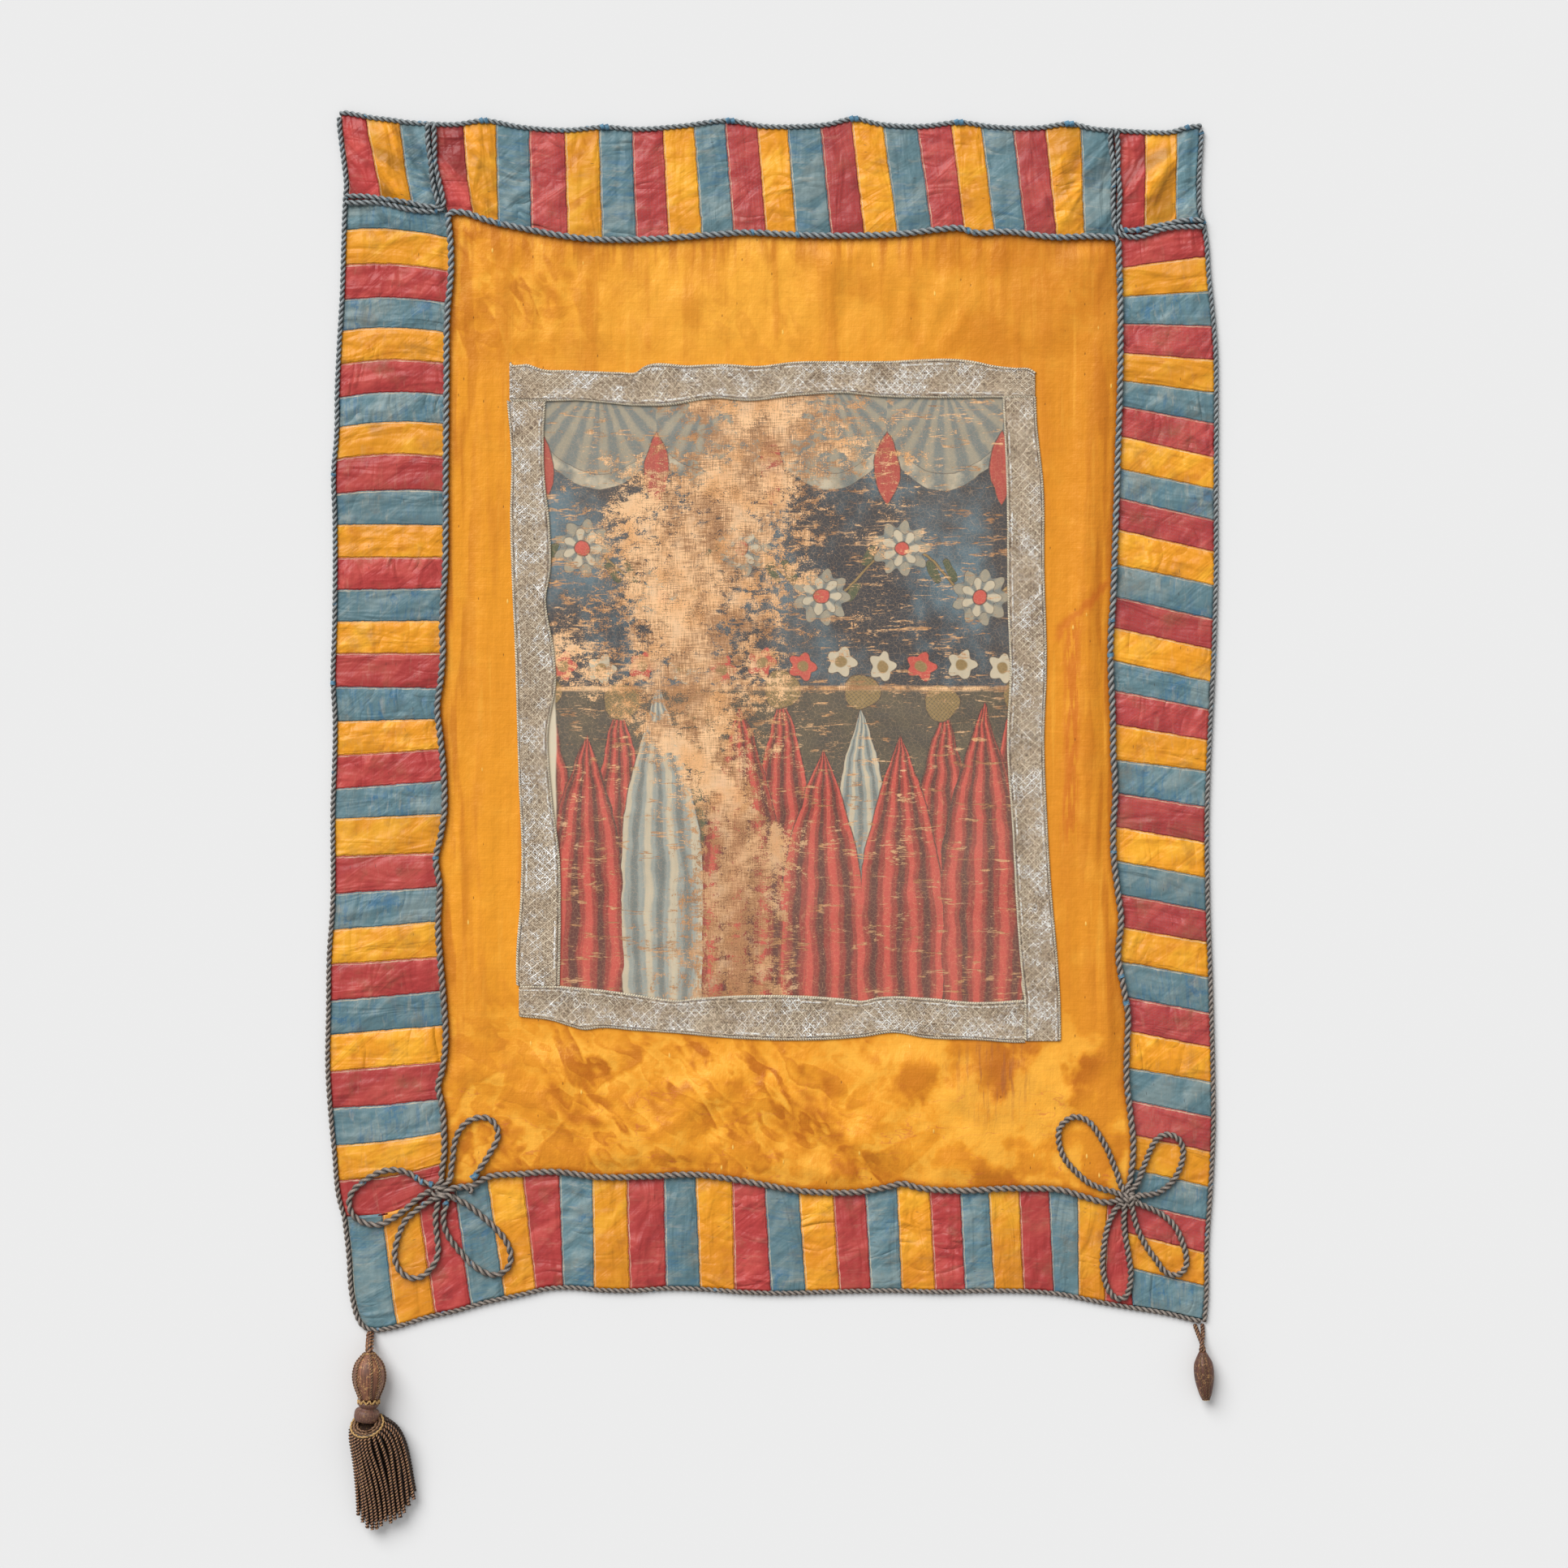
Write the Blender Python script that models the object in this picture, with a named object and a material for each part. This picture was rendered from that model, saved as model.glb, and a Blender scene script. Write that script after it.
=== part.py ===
# A silk battle flag lying face up on a flat surface: +Y is its top edge and +Z its face.
# Sizes and places are in millimetres, and become metres where a mesh or a curve is made.
import math

import bmesh
import bpy
import numpy as np

MM = 0.001
ORIGIN = (0.0, -0.5)    # plan point that becomes the origin, under the middle of the whole flag
GAP = 0.3               # between pieces that touch
SILK = 2.0              # silk, its lining and the turned seams between them
CANVAS = 1.2
GALLOON = 1.3
CANVAS_UNDER = 5.0      # the galloon covers this much of the canvas's edge
STEP_FOOT = 11.0        # the galloon steps up over the canvas this far from its inner edge, to STEP_TOP
STEP_TOP = 6.5
SHELF = 9.0             # the silk stays down this far from a seam that has a cord on it
EDGE_CORD = 5.6         # diameters
FIELD_CORD = 7.0
BLOCK_CORD = 5.8
LOOP_CORD = 6.0
PAIR_PITCH = 6.3        # between the two runs of a doubled cord
HEX = math.cos(math.pi / 6)      # half height of a six-sided cord over its radius

# Steps along the lines of the plan
LONG_STEPS = 32
WIDE_STEPS = 23
BORDER_STEPS = 5
BEND_WEIGHT = 70.0      # points crowd where a line turns: each radian counts as this much length

# Lines of the plan as x, y: runs across go left to right, runs down go top to bottom.
CORNERS = {
    "top_left": (-458, 747.5),
    "top_right": (455, 734.5),
    "bottom_left": (-434.5, -535),
    "bottom_right": (457.7, -532),
}
FIELD_CORNERS = {
    "top_left": (-343.6, 642.8),
    "top_right": (366.5, 615.5),
    "bottom_left": (-349.4, -393.2),
    "bottom_right": (374.7, -398.4),
}
SEAM_ENDS = {
    "top_1": (-361.5, 736.5),
    "top_2": (361, 729.7),
    "left_1": (-451.9, 656),
    "left_2": (-452.9, -420.7),
    "right_1": (457.1, 631),
    "bottom_1": (382.5, -517.3),
}
# The top edge hangs a little between six ties, which lift it at x -305, -177, -44, 87, 198 and 315.
TOP_1 = ((-452, 748.2), (-440, 746.3), (-422, 743), (-405, 741), (-388, 738.5))
TOP_2 = (
    (-336, 736), (-305, 740), (-268, 733.5), (-216, 730), (-177, 733.2), (-147, 731), (-96, 734.3),
    (-44, 739.8), (-10, 734.2), (25, 733.8), (59, 736), (87, 742), (111, 736.8), (162, 734.2),
    (198, 738.2), (231, 733.8), (283, 732.5), (315, 736.5), (343, 731),
)
TOP_3 = ((386, 728.2), (404, 727.4), (421, 727.6), (442, 733.2))
LEFT_1 = ((-458.2, 738), (-456.6, 722), (-452.8, 692), (-450.8, 672))
LEFT_2 = (
    (-452.6, 640), (-453.5, 610), (-455, 559), (-458, 507), (-460.4, 456), (-461.2, 404), (-464.2, 370),
    (-462.9, 318), (-463.4, 198), (-464.8, 144), (-462.9, 111), (-465, 8), (-465.5, -95), (-469, -146),
    (-469.6, -198), (-470.3, -267), (-466.8, -318), (-463.4, -353), (-457.8, -404),
)
LEFT_3 = ((-448, -464), (-445.7, -499), (-443.2, -513), (-439.4, -526.5))
RIGHT_1 = ((454.2, 714), (452.2, 680), (452, 662), (453, 645))
RIGHT_2 = (
    (460, 610), (462.5, 576), (466, 542), (469, 507), (470.3, 438), (470, 352), (469.8, 249), (467.2, 163),
    (463, 77), (460.3, -9), (461.2, -78), (464.6, -181), (466.7, -267), (467.3, -318), (464.6, -387),
    (460, -456), (459.6, -508),
)
BOTTOM_1 = (
    (-428.6, -539), (-420, -540.6), (-405, -538.6), (-388, -534.3), (-371, -528.7), (-336, -520.5),
    (-302, -511), (-268, -503.7), (-233, -496.2), (-216, -495.6), (-182, -498.4), (-147, -499),
    (-113, -496.6), (-78, -497.2), (-27, -500.7), (8, -501.6), (59, -500.2), (128, -499),
    (179, -500.2), (231, -499.1), (300, -502), (351, -511.8),
)
BOTTOM_2 = ((402, -520.3), (420, -523.5), (440, -528.4))
BLOCK_LEFT_DOWN = ((-360, 705), (-356.5, 679), (-350.5, 659))
BLOCK_LEFT_ACROSS = ((-422, 656), (-405, 653.4), (-388, 650), (-362, 646.3))
BLOCK_RIGHT_DOWN = ((363.6, 696), (364.4, 653), (365, 632))
BLOCK_RIGHT_ACROSS = ((382, 620), (412, 626.8), (438, 631))
# The doubled cords turn inside the seams' inner ends, to leave the field's own cord its corner.
BLOCK_CORD_CORNERS = {"left": (-349, 646), "right": (363.9, 623)}
BLOCK_CORD_BENDS = {"left": 8.0, "right": 9.0}
FIELD_CORD_BEND = 6.0
EDGE_CORD_TURN = 52.0   # the left edge's cord runs this far along the bottom edge
FIELD_TOP = (
    (-328, 642.8), (-302, 634.5), (-268, 626.7), (-233, 619.8), (-199, 615), (-147, 613.8), (-96, 616.4),
    (-61, 619.2), (-27, 621.4), (8, 619.8), (59, 618), (145, 620.8), (179, 624.8), (198, 626), (214, 621.4),
    (248, 622.2), (300, 616.4), (344, 617.2),
)
FIELD_LEFT = (
    (-340, 606), (-340, 576), (-343.3, 542), (-344.7, 456), (-345.5, 352), (-346.1, 266), (-349.3, 198),
    (-348.4, 180), (-351, 146), (-354.5, 120), (-351, 86), (-347.8, 51), (-347.8, 0), (-351, -19),
    (-356, -41), (-352, -69), (-353.7, -112), (-350.7, -155), (-347.8, -189), (-346, -241), (-349.4, -267),
    (-353.5, -282), (-349.6, -301), (-347, -336), (-347, -353), (-349.8, -378),
)
FIELD_RIGHT = (
    (368.6, 550), (368.3, 456), (366.1, 387), (362.8, 284), (361, 232), (358.4, 189), (358.4, 163),
    (360.5, 112), (361.2, 69), (363.4, 26), (361, -9), (361.9, -43), (366.1, -78), (369.4, -103),
    (366.4, -146), (372.6, -181), (376.7, -207), (375.6, -241), (375.2, -275), (379, -310), (382.3, -344),
    (379.5, -378),
)
FIELD_BOTTOM = (
    (-335, -389.8), (-317, -387), (-302, -378.8), (-268, -375.3), (-233, -372.8), (-182, -378.4),
    (-130, -377.7), (-78, -376), (-44, -380.4), (-10, -386.3), (25, -392.6), (59, -394.9), (93, -394.1),
    (124, -388.5), (137, -385.4), (154, -389.6), (179, -392.3), (265, -390.4), (308, -392.6), (334, -400.5),
    (351, -405), (362, -404.5),
)
DIAGONAL = ((-405, -415.6),)
RIGHT_FOOT = ((377.5, -456),)
GALLOON_OUTSIDE = {
    "top": ((-278, 484), (-259, 481.6), (-246, 477), (-215, 475.5), (-182, 474), (-162, 473.4),
            (-144, 474), (-139, 478), (-87, 480.6), (-52, 482), (-18, 480), (25, 484.6), (59, 485),
            (111, 485), (215, 484.6), (231, 481), (255, 478), (272, 477)),
    "left": ((-280.5, 456), (-277, 404), (-276, 387), (-277, 318), (-275.4, 258), (-272, 180), (-270.5, 129),
             (-268, 42), (-265, -43), (-266.8, -95), (-270.3, -138), (-270.3, -181)),
    "right": ((280, 421), (287, 352), (288, 266), (290.5, 163), (288, 77), (290.5, 8), (295.6, -78),
              (301.7, -146), (305, -198)),
    "bottom": ((-233, -213), (-214, -219), (-200, -222.5), (-185, -220.5), (-148, -223), (-96, -226.5),
               (-61, -230), (94, -230), (128, -225.5), (162, -231), (214, -233), (262, -236), (290, -234.5)),
}
GALLOON_CORNERS = {
    "top_left": (-278, 484.5),
    "top_right": (278.5, 473),
    "bottom_left": (-268, -208.5),
    "bottom_right": (305.5, -229),
}
CANVAS_OPENING = {
    "top": ((-205, 443.6), (-175, 441), (-156, 439), (-113, 438.5), (-61, 446), (-27, 443.5), (25, 449),
            (76, 451.5), (111, 448), (162, 446.5)),
    "left": ((-242, 404), (-241.5, 369), (-235, 301), (-234.5, 266), (-239.5, 232), (-231.5, 180),
             (-229, 146), (-237, 94), (-233.5, 25), (-225, -43), (-224, -95)),
    "right": ((248.5, 352), (250, 215), (252, 163), (249, 77), (254.5, -9), (259.5, -103), (263.5, -155)),
    "bottom": ((-173, -181.5), (-130, -188), (-104, -191.5), (-78, -189), (76, -190), (94, -192),
               (111, -188.5), (162, -189), (214, -193.5)),
}
OPENING_CORNERS = {
    "top_left": (-240, 443),
    "top_right": (244.5, 447),
    "bottom_left": (-225, -176.5),
    "bottom_right": (267.5, -191),
}

# Where each strip of the galloon starts and ends, and whether it lies down on the silk there
GALLOON_STRIPS = {
    "top": {"from": -278, "to": 278.5, "down_at": ("from", "to"), "steps": 14},
    "bottom": {"from": -268, "to": 267.2, "down_at": ("from",), "steps": 14},
    "left": {"from": 442.7, "to": -176.2, "down_at": (), "steps": 20},
    "right": {"from": 446.7, "to": -229, "down_at": ("to",), "steps": 20},
}

# Main folds of the silk as soft ridges: x, y, half length, half width, turn in degrees, height
FOLDS = (
    (-300, 575, 60, 24, -60, 4.0),
    (-235, 560, 80, 26, -35, 3.5),
    (-60, 560, 70, 30, 25, 3.0),
    (60, 575, 60, 24, 70, 4.0),
    (190, 560, 80, 28, -30, 3.5),
    (320, 570, 60, 26, 60, 3.5),
    (322, 180, 260, 26, 88, 3.0),
    (-285, -330, 90, 28, -62, 4.5),
    (-215, -285, 90, 26, -48, 4.0),
    (-110, -320, 80, 28, 35, 4.5),
    (0, -300, 90, 26, -20, 4.0),
    (100, -330, 70, 26, 50, 4.5),
    (215, -300, 90, 28, -35, 4.0),
    (-410, 700, 60, 18, -58, 3.5),
    (-320, 690, 50, 18, -50, 3.5),
    (-150, 680, 40, 22, 0, 2.5),
    (30, 680, 40, 22, 10, 2.5),
    (230, 680, 50, 22, -15, 2.5),
    (415, 690, 50, 18, 40, 3.5),
    (-405, 480, 40, 22, 85, 2.5),
    (-408, 200, 60, 22, 90, 2.5),
    (-410, -120, 60, 22, 90, 2.5),
    (418, 470, 50, 22, 90, 2.5),
    (412, 150, 60, 22, 90, 2.5),
    (418, -170, 60, 22, 90, 2.5),
    (-150, -450, 60, 20, 5, 2.5),
    (120, -450, 60, 20, -5, 2.5),
)
FOLDS_CLEAR_OF_GALLOON = 30
FOLDS_CLEAR_OF_KNOT = 125

# Loops of the two knots, as x, y from the knot, from one end round to the other
KNOT_SIZE = {"width": 23.0, "depth": 22.0, "height": 10.0}
LOOPS_LEFT = {
    "up": ((8.6, 12.4), (9.8, 23), (11.8, 36), (13, 49), (16, 59), (21.5, 68), (30, 75), (40.5, 78),
           (50, 76.5), (57, 69.5), (59.5, 60), (56, 49), (50, 39), (44, 29), (38, 20.5), (34.5, 15)),
    "out": ((-11.6, 7.4), (-21.5, 10), (-29, 15.5), (-39, 20.5), (-52, 22.5), (-64.5, 20.5),
            (-75, 15.5), (-85, 8.5), (-93.5, 1), (-97.6, -7), (-98, -15.5), (-95, -24), (-87.5, -31),
            (-77.5, -35), (-66, -35.5), (-56, -31.5), (-47, -25.8), (-38.5, -19.3), (-30.5, -12),
            (-22, -5.2), (-13.6, -0.6)),
    "low": ((-10.6, -8.8), (-18.5, -13.8), (-29, -22), (-38.5, -31), (-44, -41.5), (-48, -54),
            (-50, -67), (-48, -78), (-42, -87), (-32.5, -92), (-21.5, -90.5), (-12, -82.5),
            (-6.5, -74), (-4, -63), (-5, -50), (-6.3, -37), (-6.6, -24), (-4.0, -13.4)),
    "in": ((12.2, -6.8), (23, -12), (34.5, -20), (44.5, -28.5), (55, -38), (64.5, -48), (70.5, -58.5),
           (73, -69.5), (70.5, -80), (63, -87), (52.5, -88.5), (43, -85), (32.5, -78), (22.5, -68),
           (14.5, -58.5), (7, -48), (2.5, -37), (1.8, -24), (4.2, -13.2)),
}
LOOPS_RIGHT = {
    "in": ((-6.4, 12.8), (-9, 22.5), (-13.5, 33.5), (-19, 47.5), (-25, 58.5), (-32, 69.5),
           (-38.5, 77.5), (-46.5, 82.5), (-56, 83.5), (-64.5, 79), (-70.5, 71.5), (-71.5, 61),
           (-69.5, 50), (-64.5, 38.5), (-57.5, 30), (-49, 21.6), (-40.5, 14.6), (-30, 9.6), (-21, 6.4),
           (-13.4, 4.8)),
    "up": ((9.8, 10.6), (14.5, 20), (18.6, 31), (21.5, 38.5), (26.5, 50.5), (32, 59.5), (39.5, 64.5),
           (48, 64.5), (56, 59.5), (60, 50.5), (60, 40.5), (56.5, 28.5), (50.5, 17.5), (42, 8.5),
           (32.5, 3), (22, 1), (14, 0.9)),
    "out": ((12, -7.2), (19, -10.5), (26.5, -13.5), (37, -19), (47.5, -27.5), (55, -38), (60, -50.5),
            (63.5, -63), (63, -75), (57, -82.5), (48, -83.5), (39.5, -78.5), (32, -68), (24, -57.5),
            (17, -45.5), (11.5, -33.5), (8, -21.5), (6.2, -12.6)),
    "low": ((-11, -13.2), (-13.5, -17.5), (-17.5, -26), (-21.5, -40.5), (-24, -57.5), (-25, -73),
            (-23, -87.5), (-18, -100.5), (-9.5, -108.5), (-1, -107), (3.5, -96.5), (5, -83.5),
            (3.5, -69), (1, -53.5), (-1.5, -38.5), (-2.5, -23), (-1.9, -14)),
}

# Left tassel, its parts in line down the sheet: y of each end and the radii along it
TASSEL_CORD = {
    "diameter": 8.0,
    "route": ((-425.3, -542.7, 3.9), (-425.3, -546.5, 4.6), (-425.2, -550.5, 7.6),
              (-425.1, -554.5, 12.2), (-425, -557.5, 16.2), (-425, -561.2, 16.9)),
}
BULB = {"top": (-425, -562.4, 16.9), "foot": (-425.6, -612.4, 16.9),
        "radii": (4.6, 9.8, 13.9, 15.8, 16.6, 16.6, 15.7, 13.9, 11.5, 9.4)}
COLLAR = {"top": (-425.8, -612.8, 16.9), "foot": (-429.0, -632.8, 12.8),
          "radii": (9, 10.6, 9.8, 11.6, 12.6, 11.2)}
RING = {"x": -426.8, "y": -639.6, "z": 17.2, "radius": 18.0, "thickness": 4.6, "turn": 15.6, "tip": 50.0}
SKIRT = {"outer": 26, "inner": 8, "steps": 6, "root_width": 2.7, "end_width": 4.1,
         "end_x": -408.0, "end_half_width": 32.0, "bulge_left": 6.0, "bulge_right": 22.0}
# Ends of the strands across the skirt: share of its width from the left, y
SKIRT_ENDS = ((0.0, -736), (0.1, -744), (0.2, -751.5), (0.33, -751.5), (0.45, -745), (0.55, -744),
              (0.7, -741), (0.8, -734), (0.9, -724), (1.0, -717))

# Right tassel, of which the head and its two cords are left
HEAD_CORDS = {
    "head_cord_1": ((447.3, -534.3, 1.6), (449.6, -541, 2.2), (451.4, -548, 5), (452.8, -555, 9.2),
                    (453.2, -562.3, 10.7)),
    "head_cord_2": ((455.4, -533.8, 1.6), (456.3, -541, 2.2), (456.6, -548, 5), (456.7, -555, 9.2),
                    (456.7, -562.0, 10.7)),
}
HEAD_CORD = 3.1
HEAD = {"top": (454.9, -562.9, 10.7), "foot": (458.9, -613.7, 10.7),
        "radii": (4.0, 7.0, 9.6, 10.5, 10.6, 10.2, 9.2, 7.9, 6.3, 3.8)}

FINISHES = {
    "amber_silk": {"color": (0.78, 0.30, 0.03), "roughness": 0.4, "metallic": 0.0},
    "pieced_silk": {"color": (0.45, 0.12, 0.08), "roughness": 0.45, "metallic": 0.0},
    "painted_canvas": {"color": (0.35, 0.16, 0.09), "roughness": 0.7, "metallic": 0.0},
    "galloon": {"color": (0.50, 0.44, 0.36), "roughness": 0.45, "metallic": 0.4},
    "cord": {"color": (0.20, 0.18, 0.17), "roughness": 0.7, "metallic": 0.0},
    "tassel": {"color": (0.12, 0.06, 0.035), "roughness": 0.65, "metallic": 0.1},
}


def clear_scene():
    for thing in list(bpy.data.objects):
        bpy.data.objects.remove(thing)


def place(thing, finish):
    """Puts a piece in the scene with a material of its own."""
    material = bpy.data.materials.new(thing.name)
    material.use_nodes = True
    shader = material.node_tree.nodes["Principled BSDF"]
    values = FINISHES[finish]
    shader.inputs["Base Color"].default_value = (*values["color"], 1)
    shader.inputs["Roughness"].default_value = values["roughness"]
    shader.inputs["Metallic"].default_value = values["metallic"]
    thing.data.materials.append(material)
    bpy.context.scene.collection.objects.link(thing)
    return thing


def in_metres(points):
    return (np.asarray(points, float) - (*ORIGIN, 0)) * MM


# Lines

def smooth(points, steps):
    """A smooth line through points, as steps + 1 points along it that crowd where it turns."""
    points = np.asarray(points, float)
    if len(points) == 2:
        return np.linspace(points[0], points[1], steps + 1)
    knots = np.concatenate([[0], np.cumsum(np.linalg.norm(np.diff(points, axis=0), axis=1))])
    slopes = np.gradient(points, knots, axis=0)
    at = np.linspace(0, knots[-1], 30 * steps + 1)
    span = np.clip(np.searchsorted(knots, at, side="right") - 1, 0, len(points) - 2)
    width = (knots[span + 1] - knots[span])[:, None]
    t = (at - knots[span])[:, None] / width
    fine = (
        (2 * t**3 - 3 * t**2 + 1) * points[span]
        + (t**3 - 2 * t**2 + t) * width * slopes[span]
        + (3 * t**2 - 2 * t**3) * points[span + 1]
        + (t**3 - t**2) * width * slopes[span + 1]
    )
    parts = np.diff(fine, axis=0)
    lengths = np.linalg.norm(parts, axis=1)
    bends = np.linalg.norm(np.diff(parts / lengths[:, None], axis=0), axis=1)
    along = np.concatenate([[0], np.cumsum(lengths + BEND_WEIGHT * np.concatenate([[0], bends]))])
    even = np.linspace(0, along[-1], steps + 1)
    return np.stack([np.interp(even, along, column) for column in fine.T], axis=1)


def insets(line):
    """Steps to the left of a line's points that put each of its segments 1 to the left."""
    along = np.diff(line, axis=0)
    along /= np.linalg.norm(along, axis=1)[:, None]
    left = np.stack([-along[:, 1], along[:, 0]], axis=1)
    before, after = np.concatenate([left[:1], left]), np.concatenate([left, left[-1:]])
    return (before + after) / (1 + (before * after).sum(1))[:, None]


def length(line):
    return np.linalg.norm(np.diff(line, axis=0), axis=1).sum()


def trimmed(line, at_start, at_end):
    """The line without these lengths at its ends."""
    along = np.concatenate([[0], np.cumsum(np.linalg.norm(np.diff(line, axis=0), axis=1))])
    low, high = at_start, along[-1] - at_end
    kept = line[(along > low + 1) & (along < high - 1)]
    ends = [[np.interp(at, along, column) for column in line.T] for at in (low, high)]
    return np.concatenate([[ends[0]], kept, [ends[1]]])


def joined(*lines):
    return np.concatenate([lines[0], *(line[1:] for line in lines[1:])])


def bezier(points, steps):
    a, b, c, d = (np.array(p, float) for p in points)
    t = np.linspace(0, 1, steps + 1)[:, None]
    return (1 - t) ** 3 * a + 3 * t * (1 - t) ** 2 * b + 3 * t**2 * (1 - t) * c + t**3 * d


def turn_corner(first, second, size):
    """Two lines that meet, as one line that turns their corner in a curve."""
    corner = first[-1]
    first, second = trimmed(first, 0, size), trimmed(second, size, 0)
    handles = [end + 0.55 * (corner - end) for end in (first[-1], second[0])]
    return joined(first, bezier((first[-1], *handles, second[0]), 4), second)


def plan_lines():
    """Every seam and edge of the plan, with its own number of steps."""

    def run(start, between, end, steps):
        return smooth((start, *between, end), steps)

    c, f, e = CORNERS, FIELD_CORNERS, SEAM_ENDS
    return {
        "top_1": run(c["top_left"], TOP_1, e["top_1"], BORDER_STEPS),
        "top_2": run(e["top_1"], TOP_2, e["top_2"], WIDE_STEPS),
        "top_3": run(e["top_2"], TOP_3, c["top_right"], BORDER_STEPS),
        "left_1": run(c["top_left"], LEFT_1, e["left_1"], BORDER_STEPS),
        "left_2": run(e["left_1"], LEFT_2, e["left_2"], LONG_STEPS),
        "left_3": run(e["left_2"], LEFT_3, c["bottom_left"], BORDER_STEPS),
        "right_1": run(c["top_right"], RIGHT_1, e["right_1"], BORDER_STEPS),
        "right_2": run(e["right_1"], RIGHT_2, c["bottom_right"], LONG_STEPS + BORDER_STEPS),
        "bottom_1": run(c["bottom_left"], BOTTOM_1, e["bottom_1"], WIDE_STEPS + BORDER_STEPS),
        "bottom_2": run(e["bottom_1"], BOTTOM_2, c["bottom_right"], BORDER_STEPS),
        "block_left_down": run(e["top_1"], BLOCK_LEFT_DOWN, f["top_left"], BORDER_STEPS),
        "block_left_across": run(e["left_1"], BLOCK_LEFT_ACROSS, f["top_left"], BORDER_STEPS),
        "block_right_down": run(e["top_2"], BLOCK_RIGHT_DOWN, f["top_right"], BORDER_STEPS),
        "block_right_across": run(f["top_right"], BLOCK_RIGHT_ACROSS, e["right_1"], BORDER_STEPS),
        "field_top": run(f["top_left"], FIELD_TOP, f["top_right"], WIDE_STEPS),
        "field_left": run(f["top_left"], FIELD_LEFT, f["bottom_left"], LONG_STEPS),
        "field_right": run(f["top_right"], FIELD_RIGHT, f["bottom_right"], LONG_STEPS),
        "field_bottom": run(f["bottom_left"], FIELD_BOTTOM, f["bottom_right"], WIDE_STEPS),
        "diagonal": run(e["left_2"], DIAGONAL, f["bottom_left"], BORDER_STEPS),
        "right_foot": run(f["bottom_right"], RIGHT_FOOT, e["bottom_1"], BORDER_STEPS),
    }


# Sheets

def patch(top, bottom, left, right):
    """A grid of plan points between four lines that share their ends (a Coons patch)."""
    u = np.linspace(0, 1, len(top))[None, :, None]
    v = np.linspace(0, 1, len(left))[:, None, None]
    between = (1 - v) * top[None] + v * bottom[None]
    across = (1 - u) * left[:, None] + u * right[:, None]
    corners = (1 - v) * ((1 - u) * top[0] + u * top[-1]) + v * ((1 - u) * bottom[0] + u * bottom[-1])
    return between + across - corners


def draw_in(grid, top, bottom, left, right):
    """Moves each rim of a grid inwards by its own width, square to the rim."""
    rows, columns = ((0, -top), (-1, bottom)), ((0, left), (-1, -right))
    moved = grid.copy()
    for row, width in rows:
        moved[row] += width * insets(grid[row])
    for column, width in columns:
        moved[:, column] += width * insets(grid[:, column])
    for row, row_width in rows:
        for column, column_width in columns:
            normals = [insets(grid[row])[column], insets(grid[:, column])[row]]
            moved[row, column] = grid[row, column] + np.linalg.solve(normals, (row_width, column_width))
    return moved


def with_shelves(points, lift, sides):
    """Adds a line of points SHELF in from each rim named, as low as the rim."""
    for side in sides:
        axis = 0 if side in ("top", "bottom") else 1
        rim, inner = (0, 1) if side in ("top", "left") else (-1, -2)
        step = points.take(inner, axis) - points.take(rim, axis)
        line = points.take(rim, axis) + step * SHELF / np.linalg.norm(step, axis=1)[:, None]
        points = np.insert(points, 1 if rim == 0 else -1, line, axis)
        lift = np.insert(lift, 1 if rim == 0 else -1, 0, axis)
    return points, lift


def ease(x):
    x = np.clip(x, 0, 1)
    return x * x * (3 - 2 * x)


def fold_height(points):
    """Height of the silk's folds over the surface: none near the galloon and the knots."""
    x, y = points[..., 0], points[..., 1]
    height = np.zeros(x.shape)
    for fold_x, fold_y, half_length, half_width, turn, tall in FOLDS:
        c, s = math.cos(math.radians(turn)), math.sin(math.radians(turn))
        along = ((x - fold_x) * c + (y - fold_y) * s) / half_length
        across = ((y - fold_y) * c - (x - fold_x) * s) / half_width
        height += tall * np.exp(-(along**2) - across**2)
    corners = np.array(list(GALLOON_CORNERS.values()), float)
    (low_x, low_y), (high_x, high_y) = corners.min(0), corners.max(0)
    outside = np.hypot(
        np.maximum(0, np.abs(x - (low_x + high_x) / 2) - (high_x - low_x) / 2),
        np.maximum(0, np.abs(y - (low_y + high_y) / 2) - (high_y - low_y) / 2),
    )
    height *= ease((outside - FOLDS_CLEAR_OF_GALLOON) / 15)
    for corner in ("bottom_left", "bottom_right"):
        away = np.hypot(x - FIELD_CORNERS[corner][0], y - FIELD_CORNERS[corner][1])
        height *= ease((away - FOLDS_CLEAR_OF_KNOT) / 30)
    return height


def sheet(name, points, underside, thickness, finish):
    """A closed sheet whose underside is a grid of plan points at the heights given."""
    across, down = points[0, -1] - points[0, 0], points[-1, 0] - points[0, 0]
    if across[0] * down[1] > across[1] * down[0]:
        points, underside = points[::-1], underside[::-1]
    count = underside.size
    grid = np.arange(count).reshape(underside.shape)
    tops = np.stack([grid[1:, :-1], grid[1:, 1:], grid[:-1, 1:], grid[:-1, :-1]], axis=-1)
    tops = tops.reshape(-1, 4) + count
    ring = np.concatenate([grid[-1, :-1], grid[:0:-1, -1], grid[0, :0:-1], grid[:-1, 0]])
    onward = np.roll(ring, -1)
    rims = np.stack([ring, onward, onward + count, ring + count], axis=1)
    faces = np.concatenate([tops, tops[:, ::-1] - count, rims])
    layers = [np.dstack([points, z]).reshape(-1, 3) for z in (underside, underside + thickness)]
    mesh = bpy.data.meshes.new(name)
    mesh.from_pydata(in_metres(np.concatenate(layers)).tolist(), [], faces.tolist())
    mesh.shade_smooth()
    mesh.set_sharp_from_angle(angle=math.radians(50))
    return place(bpy.data.objects.new(name, mesh), finish)


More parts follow.
